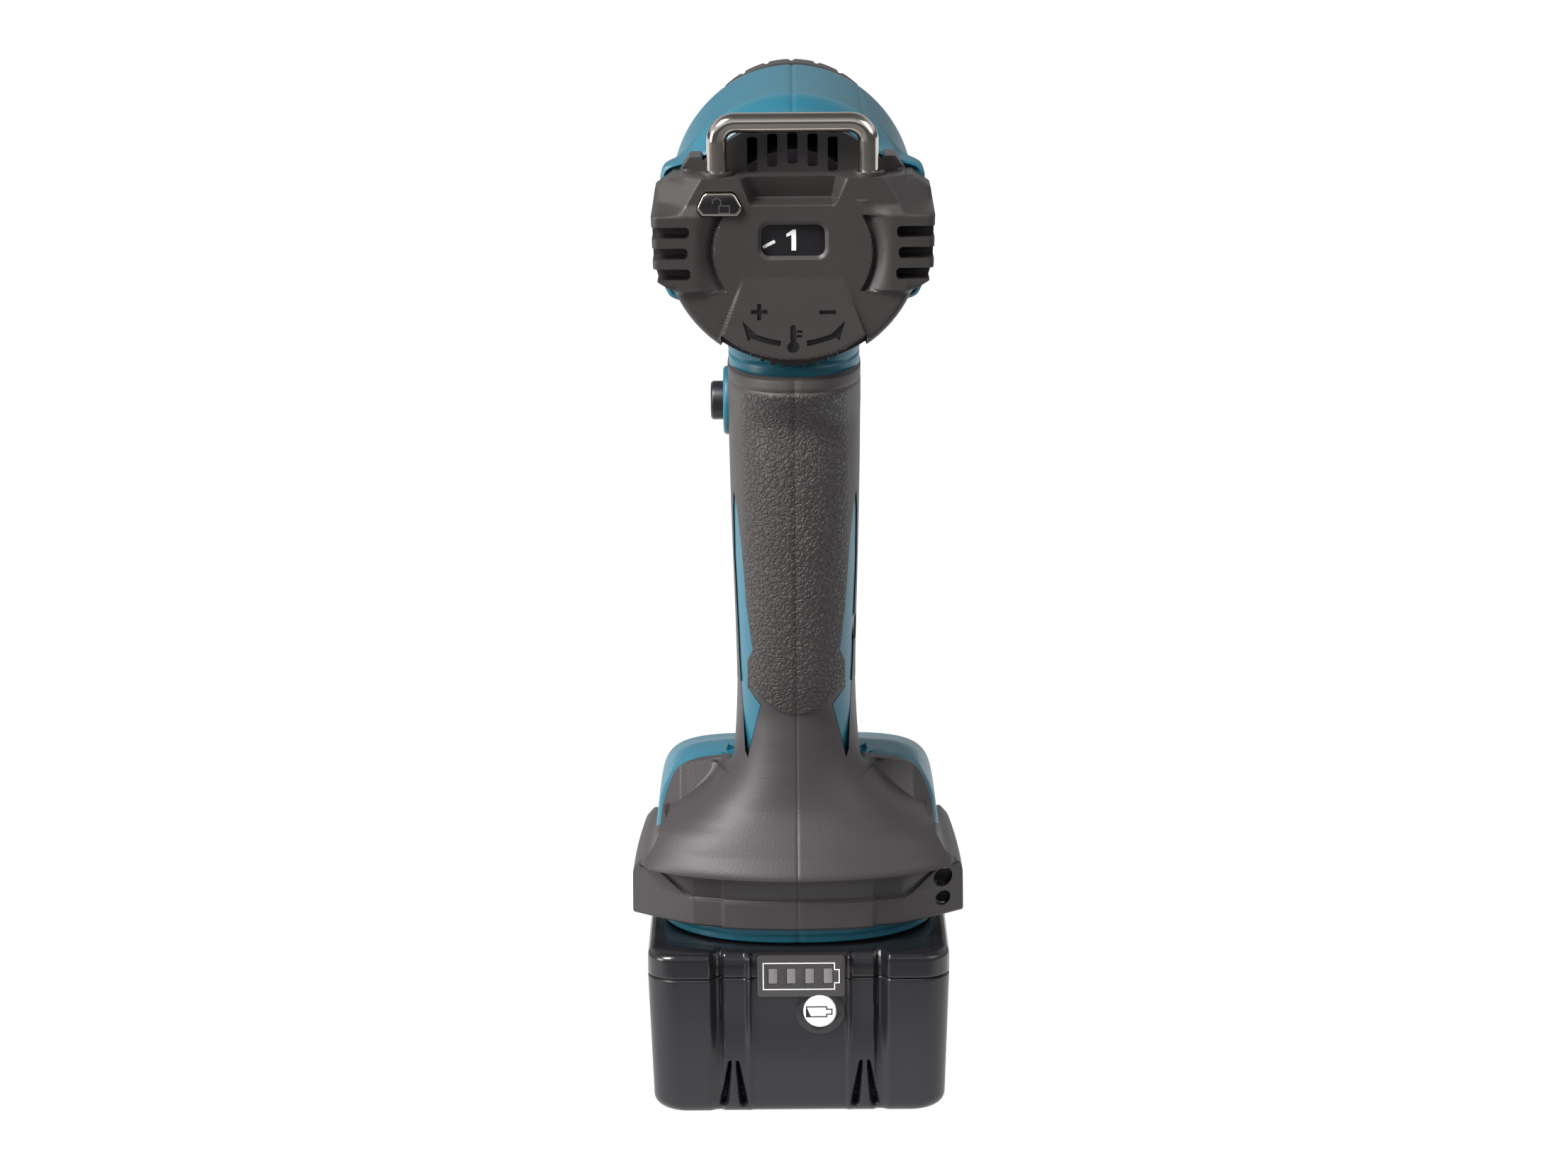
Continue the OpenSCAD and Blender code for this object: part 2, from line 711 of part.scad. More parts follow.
module armature() {
    pole = motor_r - 5.5;
    color("#7a4a2a") along_barrel(motor_y + 9) difference() {
        cylinder(r = pole, h = motor_l - 15);
        translate([0, 0, -1]) cylinder(r = shaft_r, h = motor_l);
        for (a = [0:72:288]) rotate([0, 0, a]) translate([pole - 4.5, -1.2, -1]) cube([6, 2.4, motor_l]);
    }
}

module motor_shaft() {
    color(steel_color) along_barrel(motor_y - 3) cylinder(r = shaft_r, h = shaft_end - motor_y + 3);
}

module motor_bracket() {
    color("#2c2a2a") along_barrel(motor_y + motor_l + seat_gap) difference() {
        cylinder(r = barrel_r - shell_wall - seat_gap, h = 3);
        translate([0, 0, -1]) cylinder(r = 3.6, h = 6);
        for (a = [0:60:300]) rotate([0, 0, a]) translate([motor_r - 1, 0, -1]) cylinder(r = 5.5, h = 6);
    }
}

module fan_impeller() {
    blades = 9;
    color("#26262a") along_barrel(fan_y) difference() {
        union() {
            cylinder(r = fan_r, h = 1.4);
            cylinder(r = 6, h = fan_t - 2);
            for (k = [0:blades - 1]) rotate([0, 0, 360 * k / blades])
                translate([5, -0.7, 0]) cube([fan_r - 6, 1.4, fan_t - 1]);
        }
        translate([0, 0, -1]) cylinder(r = shaft_r, h = fan_t + 2);
    }
}

module air_guide() {
    outer = barrel_r - shell_wall - seat_gap;
    inner = nozzle_r + 1.8;
    color("#3a3a3e") along_barrel(guide_y) rotate_extrude() polygon([
        [outer - 1.6, 0], [outer, 0], [outer, 3], [inner, guide_l], [inner, guide_l + 5],
        [nozzle_r + seat_gap, guide_l + 5], [nozzle_r + seat_gap, guide_l - 1], [outer - 1.6, 2.2]
    ]);
}

tube_y = guide_y + guide_l;
tube_step = 0.2;                              // the tube is this much slimmer inside the ring
tube_bore = nozzle_r - tube_step - nozzle_wall;

module nozzle_tube() {
    color(steel_color) difference() {
        union() {
            along_barrel(tube_y) cylinder(r = nozzle_r - tube_step, h = tip_y - tube_y);
            along_barrel(tip_y - nozzle_out + 0.5) cylinder(r = nozzle_r, h = nozzle_out - 0.5);
        }
        along_barrel(0) cylinder(r = tube_bore, h = 2 * tip_y);
    }
}

module mica_sleeve() {
    outer = tube_bore - seat_gap;
    color("#c8b890") along_barrel(tube_y + 1) tube(outer, outer - 0.8, tip_y - tube_y - 13);
}

former_l = tip_y - tube_y - 16;

module heater_former() {
    reach = coil_r - 1.6;
    color("#d8cba8") along_barrel(tube_y + 2) {
        for (a = [0, 90]) rotate([0, 0, a]) translate([-reach, -0.6, 0]) cube([2 * reach, 1.2, former_l]);
        translate([0, 0, former_l - 2]) tube(reach - 0.5, reach - 3, 1.5);
    }
}

module heating_coil() {
    color("#b0a090") along_barrel(tube_y + 3) coil_spring(coil_r, 0.8, coil_turns, former_l - 3);
}

module thermal_cutout() {
    color("#e4e0d8") translate([3.2, 0, 3.2]) along_barrel(tube_y - 6.2) cylinder(r = 2.2, h = 8);
}

module front_collar() {
    seat = collar_r - shell_wall - 0.4;
    color("#201e1e") along_barrel(collar_y) difference() {
        union() {
            cylinder(r = seat, h = collar_l);
            translate([0, 0, -6]) cylinder(r = seat, h = 7);
            translate([0, 0, seat_gap]) cylinder(r = collar_r, h = collar_l - 1.6);
            translate([0, 0, seat_gap]) cylinder(r = collar_r - 1, h = collar_l - 0.6);
        }
        translate([0, 0, -10]) cylinder(r = nozzle_r + 0.05, h = 40);
        translate([0, 0, -10]) cylinder(r = seat - 2, h = 14);
    }
}

// ---- trigger, switch and wiring ----

switch_front = 43;
trigger_back = 52.4;

module trigger() {
    face = 66;
    color("#1d1b1c") {
        difference() {
            translate([-7, fwd(trigger_back), trigger_z]) cube([14, face - trigger_back, trigger_h]);
            translate([-8, fwd(face + 27), trigger_z + trigger_h / 2 - 2]) rotate([0, 90, 0])
                cylinder(r = 30, h = 16);
        }
        translate([0, fwd(37), trigger_z + 5]) rotate([-90, 0, 0]) cylinder(r = 2.4, h = 16);
    }
}

module switch_body() {
    color("#30343a") difference() {
        bar(16, switch_front - 25, switch_front, switch_top - switch_h, switch_top);
        translate([0, fwd(27), trigger_z + 5]) rotate([-90, 0, 0]) cylinder(r = 3.6, h = 20);
    }
}

module trigger_spring() {
    color(steel_color) translate([0, fwd(switch_front + 0.1), trigger_z + 5]) rotate([-90, 0, 0])
        coil_spring(3.1, 0.3, 3, trigger_back - trigger_travel - switch_front - 0.3);
}

module lock_bolt() {
    color("#161415") translate([-boss_x - lock_out, 0, 0]) across(lock_y, lock_z)
        cylinder(r = lock_r, h = boss_x + lock_out + bolt_end);
}

// One lead's route from the terminal block up the handle to the switch
function lead_route(x) = [
    [x, fwd(rail_rear + 15.5), channel_top + 10.2], [x, fwd(37.5), base_z + 30],
    [x, fwd(38), base_top + 6], [x, fwd(38), waist_z + 14],
    [x, fwd(36), switch_top - switch_h - 12], [x, fwd(33), switch_top - switch_h - 0.8]
];

module power_leads() {
    color("#a02a2a") lead(lead_route(-5), 1.3);
    color("#202020") lead(lead_route(5), 1.3);
}

module terminal_block() {
    color("#2a2a2e") {
        bar(33, rail_rear + 2, rail_rear + 23, channel_top, channel_top + 5);
        bar(26, rail_rear + 8, rail_rear + 20, channel_top + 5, channel_top + 9.6);
    }
}

module terminal_blades() {
    color("#c79a4a") for (x = blade_x)
        translate([x, 0, 0]) bar(blade_t, rail_rear + 5.5, rail_rear + 18, head_z + 1, channel_top);
}

// ---- battery pack ----

function case_ring(z, inset) = lift(
    round_rect(pack_w - 2 * inset, pack_l - 2 * inset, max(1, pack_corner - inset)), z);

module case_solid(inset, z0, z1) {
    bottom = z0 + 3;
    loft([
        case_ring(z0, inset + case_taper + 2.4), case_ring(z0 + 0.7, inset + case_taper + 0.8),
        case_ring(bottom, inset + case_taper), case_ring(z1, inset)
    ]);
}

function screw_corners() = [for (sx = [-1, 1], sy = [-1, 1])
    [sx * (pack_w / 2 - 5.5), sy * (pack_l / 2 - 5.6 - case_taper)]];

module case_screw_towers(r, z0, z1) {
    for (p = screw_corners()) translate([p[0], p[1], z0]) cylinder(r = r, h = z1 - z0);
}

module battery_lower_case() {
    color("#18161a") difference() {
        union() {
            difference() {
                case_solid(0, 0, pack_split);
                translate([0, 0, pack_wall])
                    loft([case_ring(0, pack_wall + case_taper), case_ring(pack_split, pack_wall)]);
            }
            case_screw_towers(2.6, 1, pack_split);
        }
        case_screw_towers(screw_r + 0.2, -1, pack_split + 1);
        case_screw_towers(2.1, -1, 3);
        gauge_recess();
        latch_room();
    }
}

module upper_shell() {
    difference() {
        loft([case_ring(pack_split, 0), case_ring(pack_h - 1.6, 0),
              case_ring(pack_h - 0.5, 0.5), case_ring(pack_h, 1.6)]);
        translate([0, 0, -1])
            loft([case_ring(pack_split, pack_wall), case_ring(pack_h - pack_wall + 1, pack_wall)]);
    }
    bar(2 * stem_w, rail_rear, rail_front, pack_h - 1, head_z + 0.4);
    bar(2 * rail_w, rail_rear, rail_front, head_z + 0.2, rail_top);
    case_screw_towers(2.6, pack_split, pack_h - 1);
}

module battery_upper_case() {
    color("#121014") difference() {
        upper_shell();
        bar(2 * stem_w - 5, rail_rear + 2.4, rail_front - 14, pack_h - 5, head_z - 0.4);
        for (x = blade_x) translate([x, 0, 0]) bar(2.6, rail_rear - 1, rail_rear + 24, head_z + 0.6, rail_top + 1);
        latch_room();
        gauge_recess();
        case_screw_towers(screw_r + 0.05, pack_split - 1, pack_split + 5);
    }
}

// Room for the release button at the pack's front
module latch_room() {
    bar(latch_w + 2 * slide_gap, latch_y - slide_gap, pack_l + 1, latch_low - latch_travel - 4, pack_h + 1);
}

module release_button() {
    color("#26242a") difference() {
        bar(latch_w, latch_y, pack_l - 0.4, latch_low, pack_h - 0.3);
        for (k = [1:4]) bar(latch_w - 6, pack_l - 1.2, pack_l + 1, latch_low + 2.4 * k, latch_low + 2.4 * k + 1);
    }
}

module release_spring() {
    color(steel_color) translate([0, fwd(latch_y + 3.6), latch_low - latch_travel - 3.9])
        coil_spring(2.4, 0.35, 4, 3.7);
}

module battery_cells() {
    color("#3f6f8f") for (k = [-2:2], layer = [0, 1])
        translate([-cell_l / 2, k * cell_pitch_y, cell_low + layer * cell_pitch_z])
            rotate([0, 90, 0]) cylinder(d = cell_d, h = cell_l);
}

module cell_frame() {
    color("#8a8c90") for (side = [-1, 1]) difference() {
        translate([side * (cell_l / 2 - 6) - 2, -2.5 * cell_pitch_y - 1, pack_wall + seat_gap])
            cube([4, 5 * cell_pitch_y + 2, 2 * cell_pitch_z]);
        for (k = [-2:2], layer = [0, 1])
            translate([-50, k * cell_pitch_y, cell_low + layer * cell_pitch_z])
                rotate([0, 90, 0]) cylinder(d = cell_d + 0.1, h = 100);
    }
}

module cell_straps() {
    color("#b9bcc0") for (side = [-1, 1], k = [-2:2])
        translate([side * (cell_l / 2 + 0.15) - 0.15, k * cell_pitch_y - 4, cell_low - 4])
            cube([0.3, 8, cell_pitch_z + 8]);
}

module battery_board() {
    color("#2f6b3a") bar(2 * stem_w - 8, rail_rear + 4, rail_front - 20, pack_h - 1.8, pack_h - 0.6);
}

module battery_contacts() {
    gap = blade_t / 2 + seat_gap;
    color("#c79a4a") for (x = blade_x, side = [-1, 1])
        translate([x + side * (gap + leaf_t / 2), 0, 0]) bar(leaf_t, rail_rear + 7.5, rail_rear + 16, head_z + 0.6, rail_top - 0.6);
}

gauge_x = 0.6;
gauge_z = pack_split + 0.5;
gauge_w = 22;
gauge_h = 10.7;
check_x = 5.2;
check_z = pack_split - 8.5;
check_r = 4.1;

module gauge_recess() {
    translate([gauge_x - gauge_w / 2, fwd(-1), gauge_z - gauge_h / 2]) cube([gauge_w, 2.2, gauge_h]);
    translate([check_x, fwd(-1), check_z]) rotate([-90, 0, 0]) cylinder(r = check_r + slide_gap / 2, h = 4.4);
}

module gauge_panel() {
    color("#3c3838") difference() {
        translate([gauge_x - gauge_w / 2 + seat_gap, fwd(0.3), gauge_z - gauge_h / 2 + seat_gap])
            cube([gauge_w - 2 * seat_gap, 0.9 - seat_gap, gauge_h - 2 * seat_gap]);
        for (k = [0:3]) translate([gauge_light_x(k) - 1.3, fwd(-1), gauge_z - 2.1]) cube([2.6, 4, 4.2]);
        translate([check_x, fwd(-1), check_z]) rotate([-90, 0, 0]) cylinder(r = check_r + slide_gap / 2, h = 4);
    }
}

function gauge_light_x(k) = gauge_x - 0.7 + (k - 1.5) * 4.57;

module gauge_lights() {
    color("#9a9690") for (k = [0:3])
        translate([gauge_light_x(k) - 1.2, fwd(0.4), gauge_z - 2]) cube([2.4, 0.8 - seat_gap, 4]);
}

module check_button() {
    color("#f2f0ee") translate([check_x, fwd(0.1), check_z]) rotate([-90, 0, 0]) cylinder(r = check_r, h = 2.2);
}

module battery_screws() {
    color(steel_color) for (p = screw_corners()) translate([p[0], p[1], 0]) {
        translate([0, 0, 1.4]) cylinder(r = 2, h = 1.5);
        translate([0, 0, 2.8]) cylinder(r = screw_r, h = pack_split - 0.8);
    }
}

housing_left();
housing_right();
rear_cover();
front_collar();
grip_left();
grip_right();
boot_left();
boot_right();
housing_screws();
hook();
hook_button();
hook_button_spring();
temperature_dial();
potentiometer();
pot_shaft();
control_board();
motor_can();
motor_magnets();
motor_endbell();
motor_brushes();
motor_bushes();
motor_shaft();
armature();
commutator();
motor_bracket();
fan_impeller();
air_guide();
nozzle_tube();
mica_sleeve();
heater_former();
heating_coil();
thermal_cutout();
trigger();
trigger_spring();
switch_body();
lock_bolt();
power_leads();
terminal_block();
terminal_blades();
battery_lower_case();
battery_upper_case();
battery_cells();
cell_frame();
cell_straps();
battery_board();
battery_contacts();
release_button();
release_spring();
gauge_panel();
gauge_lights();
check_button();
battery_screws();
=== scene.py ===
import json
import math
import bpy
import numpy as np
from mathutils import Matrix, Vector


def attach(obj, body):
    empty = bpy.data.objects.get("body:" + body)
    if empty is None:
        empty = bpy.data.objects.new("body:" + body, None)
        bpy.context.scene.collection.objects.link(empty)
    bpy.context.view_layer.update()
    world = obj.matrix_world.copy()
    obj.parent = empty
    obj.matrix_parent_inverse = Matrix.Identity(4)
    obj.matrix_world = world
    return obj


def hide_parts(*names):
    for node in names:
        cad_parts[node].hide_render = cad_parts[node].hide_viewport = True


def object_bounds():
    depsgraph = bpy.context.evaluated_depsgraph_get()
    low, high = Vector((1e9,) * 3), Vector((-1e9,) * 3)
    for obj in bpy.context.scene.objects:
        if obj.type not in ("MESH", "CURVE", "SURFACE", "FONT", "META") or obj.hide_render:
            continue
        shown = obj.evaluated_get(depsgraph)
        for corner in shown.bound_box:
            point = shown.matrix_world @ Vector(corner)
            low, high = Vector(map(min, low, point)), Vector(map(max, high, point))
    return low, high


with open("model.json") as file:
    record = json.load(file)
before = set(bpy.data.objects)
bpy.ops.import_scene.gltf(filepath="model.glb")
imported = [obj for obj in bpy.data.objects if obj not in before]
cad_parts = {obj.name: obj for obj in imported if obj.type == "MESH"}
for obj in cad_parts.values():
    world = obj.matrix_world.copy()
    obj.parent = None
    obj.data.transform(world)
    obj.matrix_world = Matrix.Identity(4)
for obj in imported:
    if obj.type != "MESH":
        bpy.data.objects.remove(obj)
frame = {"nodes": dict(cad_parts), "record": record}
cadBox = [list(corner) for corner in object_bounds()]
mm = 0.001
rearPlane = cadBox[0][1] / mm  # the tool's rear plane, in millimetres along Y
scene = bpy.context.scene

# Camera, floor and lights, in metres, degrees and watts; the sky's stops go from its lowest point to its top
camera = {"place": (-0.0009, -1.0278, 0.3776), "pitch": 14, "roll": 0.46, "lens": 95.1, "reach": 100}
studio = {
    "target": (0, 0, 0.13),
    "sky": [(0.0, 0.1), (0.17, 0.14), (0.32, 0.8), (0.5, 0.6), (0.8, 0.2), (1.0, 0.12)],
    "floorSize": 30, "floorColor": (0.12, 0.12, 0.12, 1), "floorRoughness": 0.9,
    "floorNear": (0.02, 0.02, 0.02, 1), "floorGlow": (0.98, 0.98, 0.98, 1), "glowEdge": (-0.17, -0.1),
    "key": {"place": (-0.85, -0.75, 1.35), "size": 0.6, "power": 40},
    "fill": {"place": (-1.25, -0.55, 0.4), "size": 0.5, "power": 9},
    "back": {"place": (0.9, -0.7, 0.8), "size": 0.8, "power": 3},
}


def clearSelection():
    if bpy.context.object and bpy.context.object.mode != "OBJECT":
        bpy.ops.object.mode_set(mode="OBJECT")
    bpy.ops.object.select_all(action="DESELECT")


def addLight(name, spec):
    bpy.ops.object.light_add(type="AREA", location=spec["place"])
    lamp = bpy.context.object
    lamp.name = name
    lamp.data.size = spec["size"]
    lamp.data.energy = spec["power"]
    away = [spec["place"][k] - studio["target"][k] for k in range(3)]
    flat = math.hypot(away[0], away[1])
    lamp.rotation_euler = (math.atan2(flat, away[2]), 0, math.atan2(away[0], -away[1]))


clearSelection()
bpy.ops.object.camera_add(location=camera["place"])
cameraObject = bpy.context.object
cameraObject.rotation_euler = (math.radians(90 - camera["pitch"]), math.radians(camera["roll"]), 0)
cameraObject.data.lens = camera["lens"]
cameraObject.data.clip_end = camera["reach"]
scene.camera = cameraObject
addLight("keyLight", studio["key"])
addLight("fillLight", studio["fill"])
addLight("backLight", studio["back"])
scene.view_settings.view_transform = "Standard"
print("camera and lights placed")


# A wire carries a number or colour from one node to the next
class Wire:
    def __init__(self, finish, socket):
        self.finish, self.socket = finish, socket

    def maths(self, kind, left, right):
        return self.finish.node("ShaderNodeMath", {"operation": kind}, {0: left, 1: right})

    def __add__(self, other):
        return self.maths("ADD", self, other)

    def __radd__(self, other):
        return self.maths("ADD", other, self)

    def __sub__(self, other):
        return self.maths("SUBTRACT", self, other)

    def __rsub__(self, other):
        return self.maths("SUBTRACT", other, self)

    def __mul__(self, other):
        return self.maths("MULTIPLY", self, other)

    def __rmul__(self, other):
        return self.maths("MULTIPLY", other, self)


# The nodes of one material, or of the sky
class Finish:
    def __init__(self, owner, shader="Principled BSDF", coordinates="Object"):
        owner.use_nodes = True
        self.owner, self.tree = owner, owner.node_tree
        self.shader = self.tree.nodes[shader]
        self.place = self.node("ShaderNodeTexCoord", {}, {}, coordinates)

    def node(self, kind, settings, inputs, output=0):
        made = self.tree.nodes.new(kind)
        for key, value in settings.items():
            if key == "stops":
                ramp = made.color_ramp
                while len(ramp.elements) < len(value):
                    ramp.elements.new(0.5)
                for stop, (position, tone) in zip(ramp.elements, value):
                    stop.position, stop.color = position, (*tone, 1)
            else:
                setattr(made, key, value)
        for key, value in inputs.items():
            self.join(value, made.inputs[key])
        return Wire(self, made.outputs[output])

    def join(self, value, socket):
        if isinstance(value, Wire):
            self.tree.links.new(value.socket, socket)
        else:
            socket.default_value = value

    def set(self, key, value):
        self.join(value, self.shader.inputs[key])

    def noise(self, scale, detail=3, rough=0.55, place=None):
        return self.node("ShaderNodeTexNoise", {}, {
            "Vector": place or self.place, "Scale": scale, "Detail": detail, "Roughness": rough}, "Fac")

    def band(self, value, low, high):
        return self.node("ShaderNodeMapRange", {"interpolation_type": "SMOOTHSTEP"}, {
            "Value": value, "From Min": low, "From Max": high}, "Result")

    def axes(self):
        split = self.tree.nodes.new("ShaderNodeSeparateXYZ")
        self.tree.links.new(self.place.socket, split.inputs[0])
        return [Wire(self, output) for output in split.outputs]

    def sideAndHeight(self):
        x, _, z = self.axes()
        return self.node("ShaderNodeMath", {"operation": "ABSOLUTE"}, {0: x}), z

    def blend(self, factor, first, second):
        return self.node("ShaderNodeMix", {"data_type": "RGBA"}, {
            0: factor, 6: first, 7: second}, 2)

    def bump(self, height, depth, strength=1.0):
        self.set("Normal", self.node("ShaderNodeBump", {}, {
            "Height": height, "Distance": depth, "Strength": strength}, "Normal"))


scene.world = bpy.data.worlds.new("softRoom")
sky = Finish(scene.world, "Background", "Generated")
skyStops = [(position, (light, light, light)) for position, light in studio["sky"]]
sky.set("Color", sky.node("ShaderNodeValToRGB", {"stops": skyStops}, {"Fac": sky.axes()[2]}))


def tone(color, share):
    return tuple(min(1, c * share) for c in color) + (1,)


def newFinish(name):
    return Finish(bpy.data.materials.new(name))


def mouldedFinish(name, spec):
    made = newFinish(name)
    cloud = made.noise(spec.get("cloud", 45), 4)
    grain = made.noise(spec.get("grain", 2600), 2)
    scuff = made.band(made.noise(160, 8, 0.7), 0.62, 0.74)
    color = made.blend(cloud, tone(spec["color"], 0.86), tone(spec["color"], 1.14))
    if spec.get("shade"):  # painted shade: darker under the overhang of the arris, fading out towards the sides
        side, z = made.sideAndHeight()
        low, high = spec["shade"]
        under = made.band(z, low, low + 0.0004) * (1 - made.band(z, high - 0.0006, high))
        under = under * (1 - made.band(side, *spec["shadeSide"]))
        color = made.blend(under * 0.6, color, tone(spec["color"], 0.3))
    made.set("Base Color", made.blend(scuff * spec.get("scuff", 0.25), color, tone(spec["color"], 1.5)))
    made.set("Roughness", spec["roughness"] + (cloud - 0.5) * 0.12 + scuff * 0.08)
    made.set("Coat Weight", spec.get("coat", 0.0))
    made.set("Coat Roughness", 0.12)
    height = grain
    if spec.get("pebble"):  # raised cells on the part that the palm holds
        side, z = made.sideAndHeight()
        wander = made.node("ShaderNodeTexNoise", {}, {
            "Vector": made.place, "Scale": 700, "Detail": 2.0}, "Color")
        warped = made.node("ShaderNodeMix", {"data_type": "VECTOR"}, {
            0: 0.0016, 4: made.place, 5: wander}, 1)
        cells = made.node("ShaderNodeTexVoronoi", {"feature": "DISTANCE_TO_EDGE"}, {
            "Vector": warped, "Scale": spec["pebble"]}, "Distance")
        inside = 1 - made.band(side, *spec["palmSide"])
        inside = inside * made.band(z, *spec["palmFoot"]) * (1 - made.band(z, *spec["palmTop"]))
        height = grain * 0.25 + made.band(cells, 0.0, 0.22) * inside
        polish = made.band(cells, 0.05, 0.3) * inside
        made.set("Roughness", spec["roughness"] + (cloud - 0.5) * 0.1 - polish * 0.1)
    made.bump(height, spec.get("depth", 0.00004), spec.get("strength", 0.6))
    return made.owner


def metalFinish(name, spec):
    made = newFinish(name)
    cloud = made.noise(60, 4)
    streak = made.noise(900, 3, 0.6, made.node("ShaderNodeMapping", {}, {
        "Vector": made.place, "Scale": spec.get("streak", (1, 1, 1))}, "Vector"))
    color = made.blend(cloud, tone(spec["color"], 0.9), tone(spec["color"], 1.06))
    if spec.get("heat"):
        y = made.axes()[1]
        color = made.blend(made.band(y, *spec["heat"]) * 0.7, color, spec["heatColor"])
    made.set("Base Color", color)
    made.set("Metallic", 1.0)
    made.set("Roughness", spec["roughness"] + (cloud - 0.5) * 0.08 + streak * spec.get("streakRough", 0.05))
    made.bump(streak, spec.get("depth", 0.000008), 0.5)
    return made.owner


def boardFinish(name, spec):
    made = newFinish(name)
    traces = made.node("ShaderNodeTexBrick", {}, {
        "Vector": made.place, "Scale": 260, "Mortar Size": 0.03, "Color1": tone(spec["color"], 0.8),
        "Color2": tone(spec["color"], 1.2), "Mortar": (0.35, 0.3, 0.12, 1)}, "Color")
    made.set("Base Color", traces)
    made.set("Roughness", 0.35 + made.noise(300) * 0.2)
    made.bump(made.noise(1500), 0.00002, 0.5)
    return made.owner


finishes = {
    "teal": {"color": (0.012, 0.125, 0.185), "roughness": 0.4, "grain": 2400, "depth": 0.00003},
    "dark_shell": {"color": (0.036, 0.031, 0.031), "roughness": 0.44, "grain": 2000, "depth": 0.00005},
    "grip_rubber": {"color": (0.047, 0.041, 0.04), "roughness": 0.55, "pebble": 760, "depth": 0.0004,
                    "strength": 0.9, "palmSide": (0.0118, 0.0136), "palmFoot": (0.1, 0.102),
                    "palmTop": (0.1818, 0.1828)},
    # the boot's shade band is painted shade under the arris
    "boot_rubber": {"color": (0.04, 0.034, 0.035), "roughness": 0.5, "grain": 1900, "depth": 0.00007,
                    "shade": (0.0548, 0.0604), "shadeSide": (0.026, 0.037)},
    "black_plastic": {"color": (0.012, 0.0105, 0.0135), "roughness": 0.34, "grain": 3000, "depth": 0.00002},
    "gloss_black": {"color": (0.01, 0.009, 0.011), "roughness": 0.26, "coat": 0.25, "grain": 2600,
                    "depth": 0.00002},
    "pale_plastic": {"color": (0.86, 0.85, 0.83), "roughness": 0.4, "scuff": 0.05},
    "blue_plastic": {"color": (0.03, 0.1, 0.25), "roughness": 0.4},
    "frame_plastic": {"color": (0.3, 0.29, 0.27), "roughness": 0.5},
    "gauge_panel": {"color": (0.05, 0.045, 0.048), "roughness": 0.42, "grain": 1800},
    "gauge_light": {"color": (0.2, 0.19, 0.19), "roughness": 0.3, "coat": 0.4},
    "lead": {"color": (0.3, 0.02, 0.02), "roughness": 0.5},
    "mica": {"color": (0.42, 0.33, 0.2), "roughness": 0.4, "cloud": 200},
    "ferrite": {"color": (0.05, 0.05, 0.055), "roughness": 0.6},
    "nickel": {"metal": True, "color": (0.62, 0.57, 0.52), "roughness": 0.09, "streakRough": 0.04},
    "steel": {"metal": True, "color": (0.6, 0.6, 0.6), "roughness": 0.28, "streak": (1, 1, 0.1)},
    "heat_steel": {"metal": True, "color": (0.66, 0.63, 0.6), "roughness": 0.22, "streak": (0.1, 1, 0.1),
                   "heat": (0.06, 0.105), "heatColor": (0.5, 0.41, 0.3, 1)},
    "bronze": {"metal": True, "color": (0.55, 0.36, 0.16), "roughness": 0.32},
    "copper": {"metal": True, "color": (0.72, 0.32, 0.18), "roughness": 0.3},
    "heater_wire": {"metal": True, "color": (0.35, 0.31, 0.28), "roughness": 0.4},
    "board": {"board": True, "color": (0.02, 0.16, 0.06)},
    "paint": {"color": (0.9, 0.9, 0.88), "roughness": 0.45, "scuff": 0.05},
    # ink is near-black: print on the check button, and painted shade on the floors of the cover's signs and
    # of the strap holes
    "ink": {"color": (0.012, 0.012, 0.013), "roughness": 0.4},
}
materials = {}
for slotName, spec in finishes.items():
    build = metalFinish if spec.get("metal") else boardFinish if spec.get("board") else mouldedFinish
    materials[slotName] = build(slotName, spec)
slotOf = {part["node"]: part["material_slot"] for part in frame["record"]["subparts"]}
for nodeName, cadPart in frame["nodes"].items():
    cadPart.data.materials.clear()
    cadPart.data.materials.append(materials[slotOf[nodeName]])
print("finishes made:", len(materials))


# Tools for shaping; places are in millimetres, depth from the tool's rear plane and z from the floor
def eased(value, low, high):
    share = np.clip((value - low) / (high - low), 0, 1)
    return share * share * (3 - 2 * share)


# A smooth curve through the knots, which doesn't swing past them
def curveAt(knots, values, at):
    knots, values = np.array(knots, float), np.array(values, float)
    slope = np.diff(values) / np.diff(knots)
    lean = np.zeros(len(knots))
    same = slope[:-1] * slope[1:] > 0
    lean[1:-1] = np.where(same, 2 * slope[:-1] * slope[1:] / (slope[:-1] + slope[1:] + (~same)), 0)
    lean[0], lean[-1] = slope[0], slope[-1]
    at = np.clip(at, knots[0], knots[-1])
    k = np.clip(np.searchsorted(knots, at, side="right") - 1, 0, len(knots) - 2)
    gap = knots[k + 1] - knots[k]
    t = (at - knots[k]) / gap
    return ((1 + 2 * t) * (1 - t) ** 2 * values[k] + t * (1 - t) ** 2 * gap * lean[k]
            + t * t * (3 - 2 * t) * values[k + 1] + t * t * (t - 1) * gap * lean[k + 1])


def toWorld(x, depth, z):
    return np.stack([x, depth + rearPlane, z], -1) * mm


# A grid whose corner-to-corner shares u and v are bent to the places that the function gives
def gridPiece(name, columns, rows, place, facing=(1, 0, 0)):
    clearSelection()
    bpy.ops.mesh.primitive_grid_add(x_subdivisions=columns, y_subdivisions=rows, size=2)
    made = bpy.context.object
    made.name = made.data.name = name
    spots = np.empty(len(made.data.vertices) * 3)
    made.data.vertices.foreach_get("co", spots)
    spots = spots.reshape(-1, 3)
    x, depth, z = place((spots[:, 0] + 1) / 2, (spots[:, 1] + 1) / 2)
    made.data.vertices.foreach_set("co", toWorld(x, depth, z).ravel())
    made.data.update()
    lean = sum((face.normal * face.area for face in made.data.polygons), Vector())
    if lean.dot(Vector(facing)) < 0:
        made.data.flip_normals()
    return made


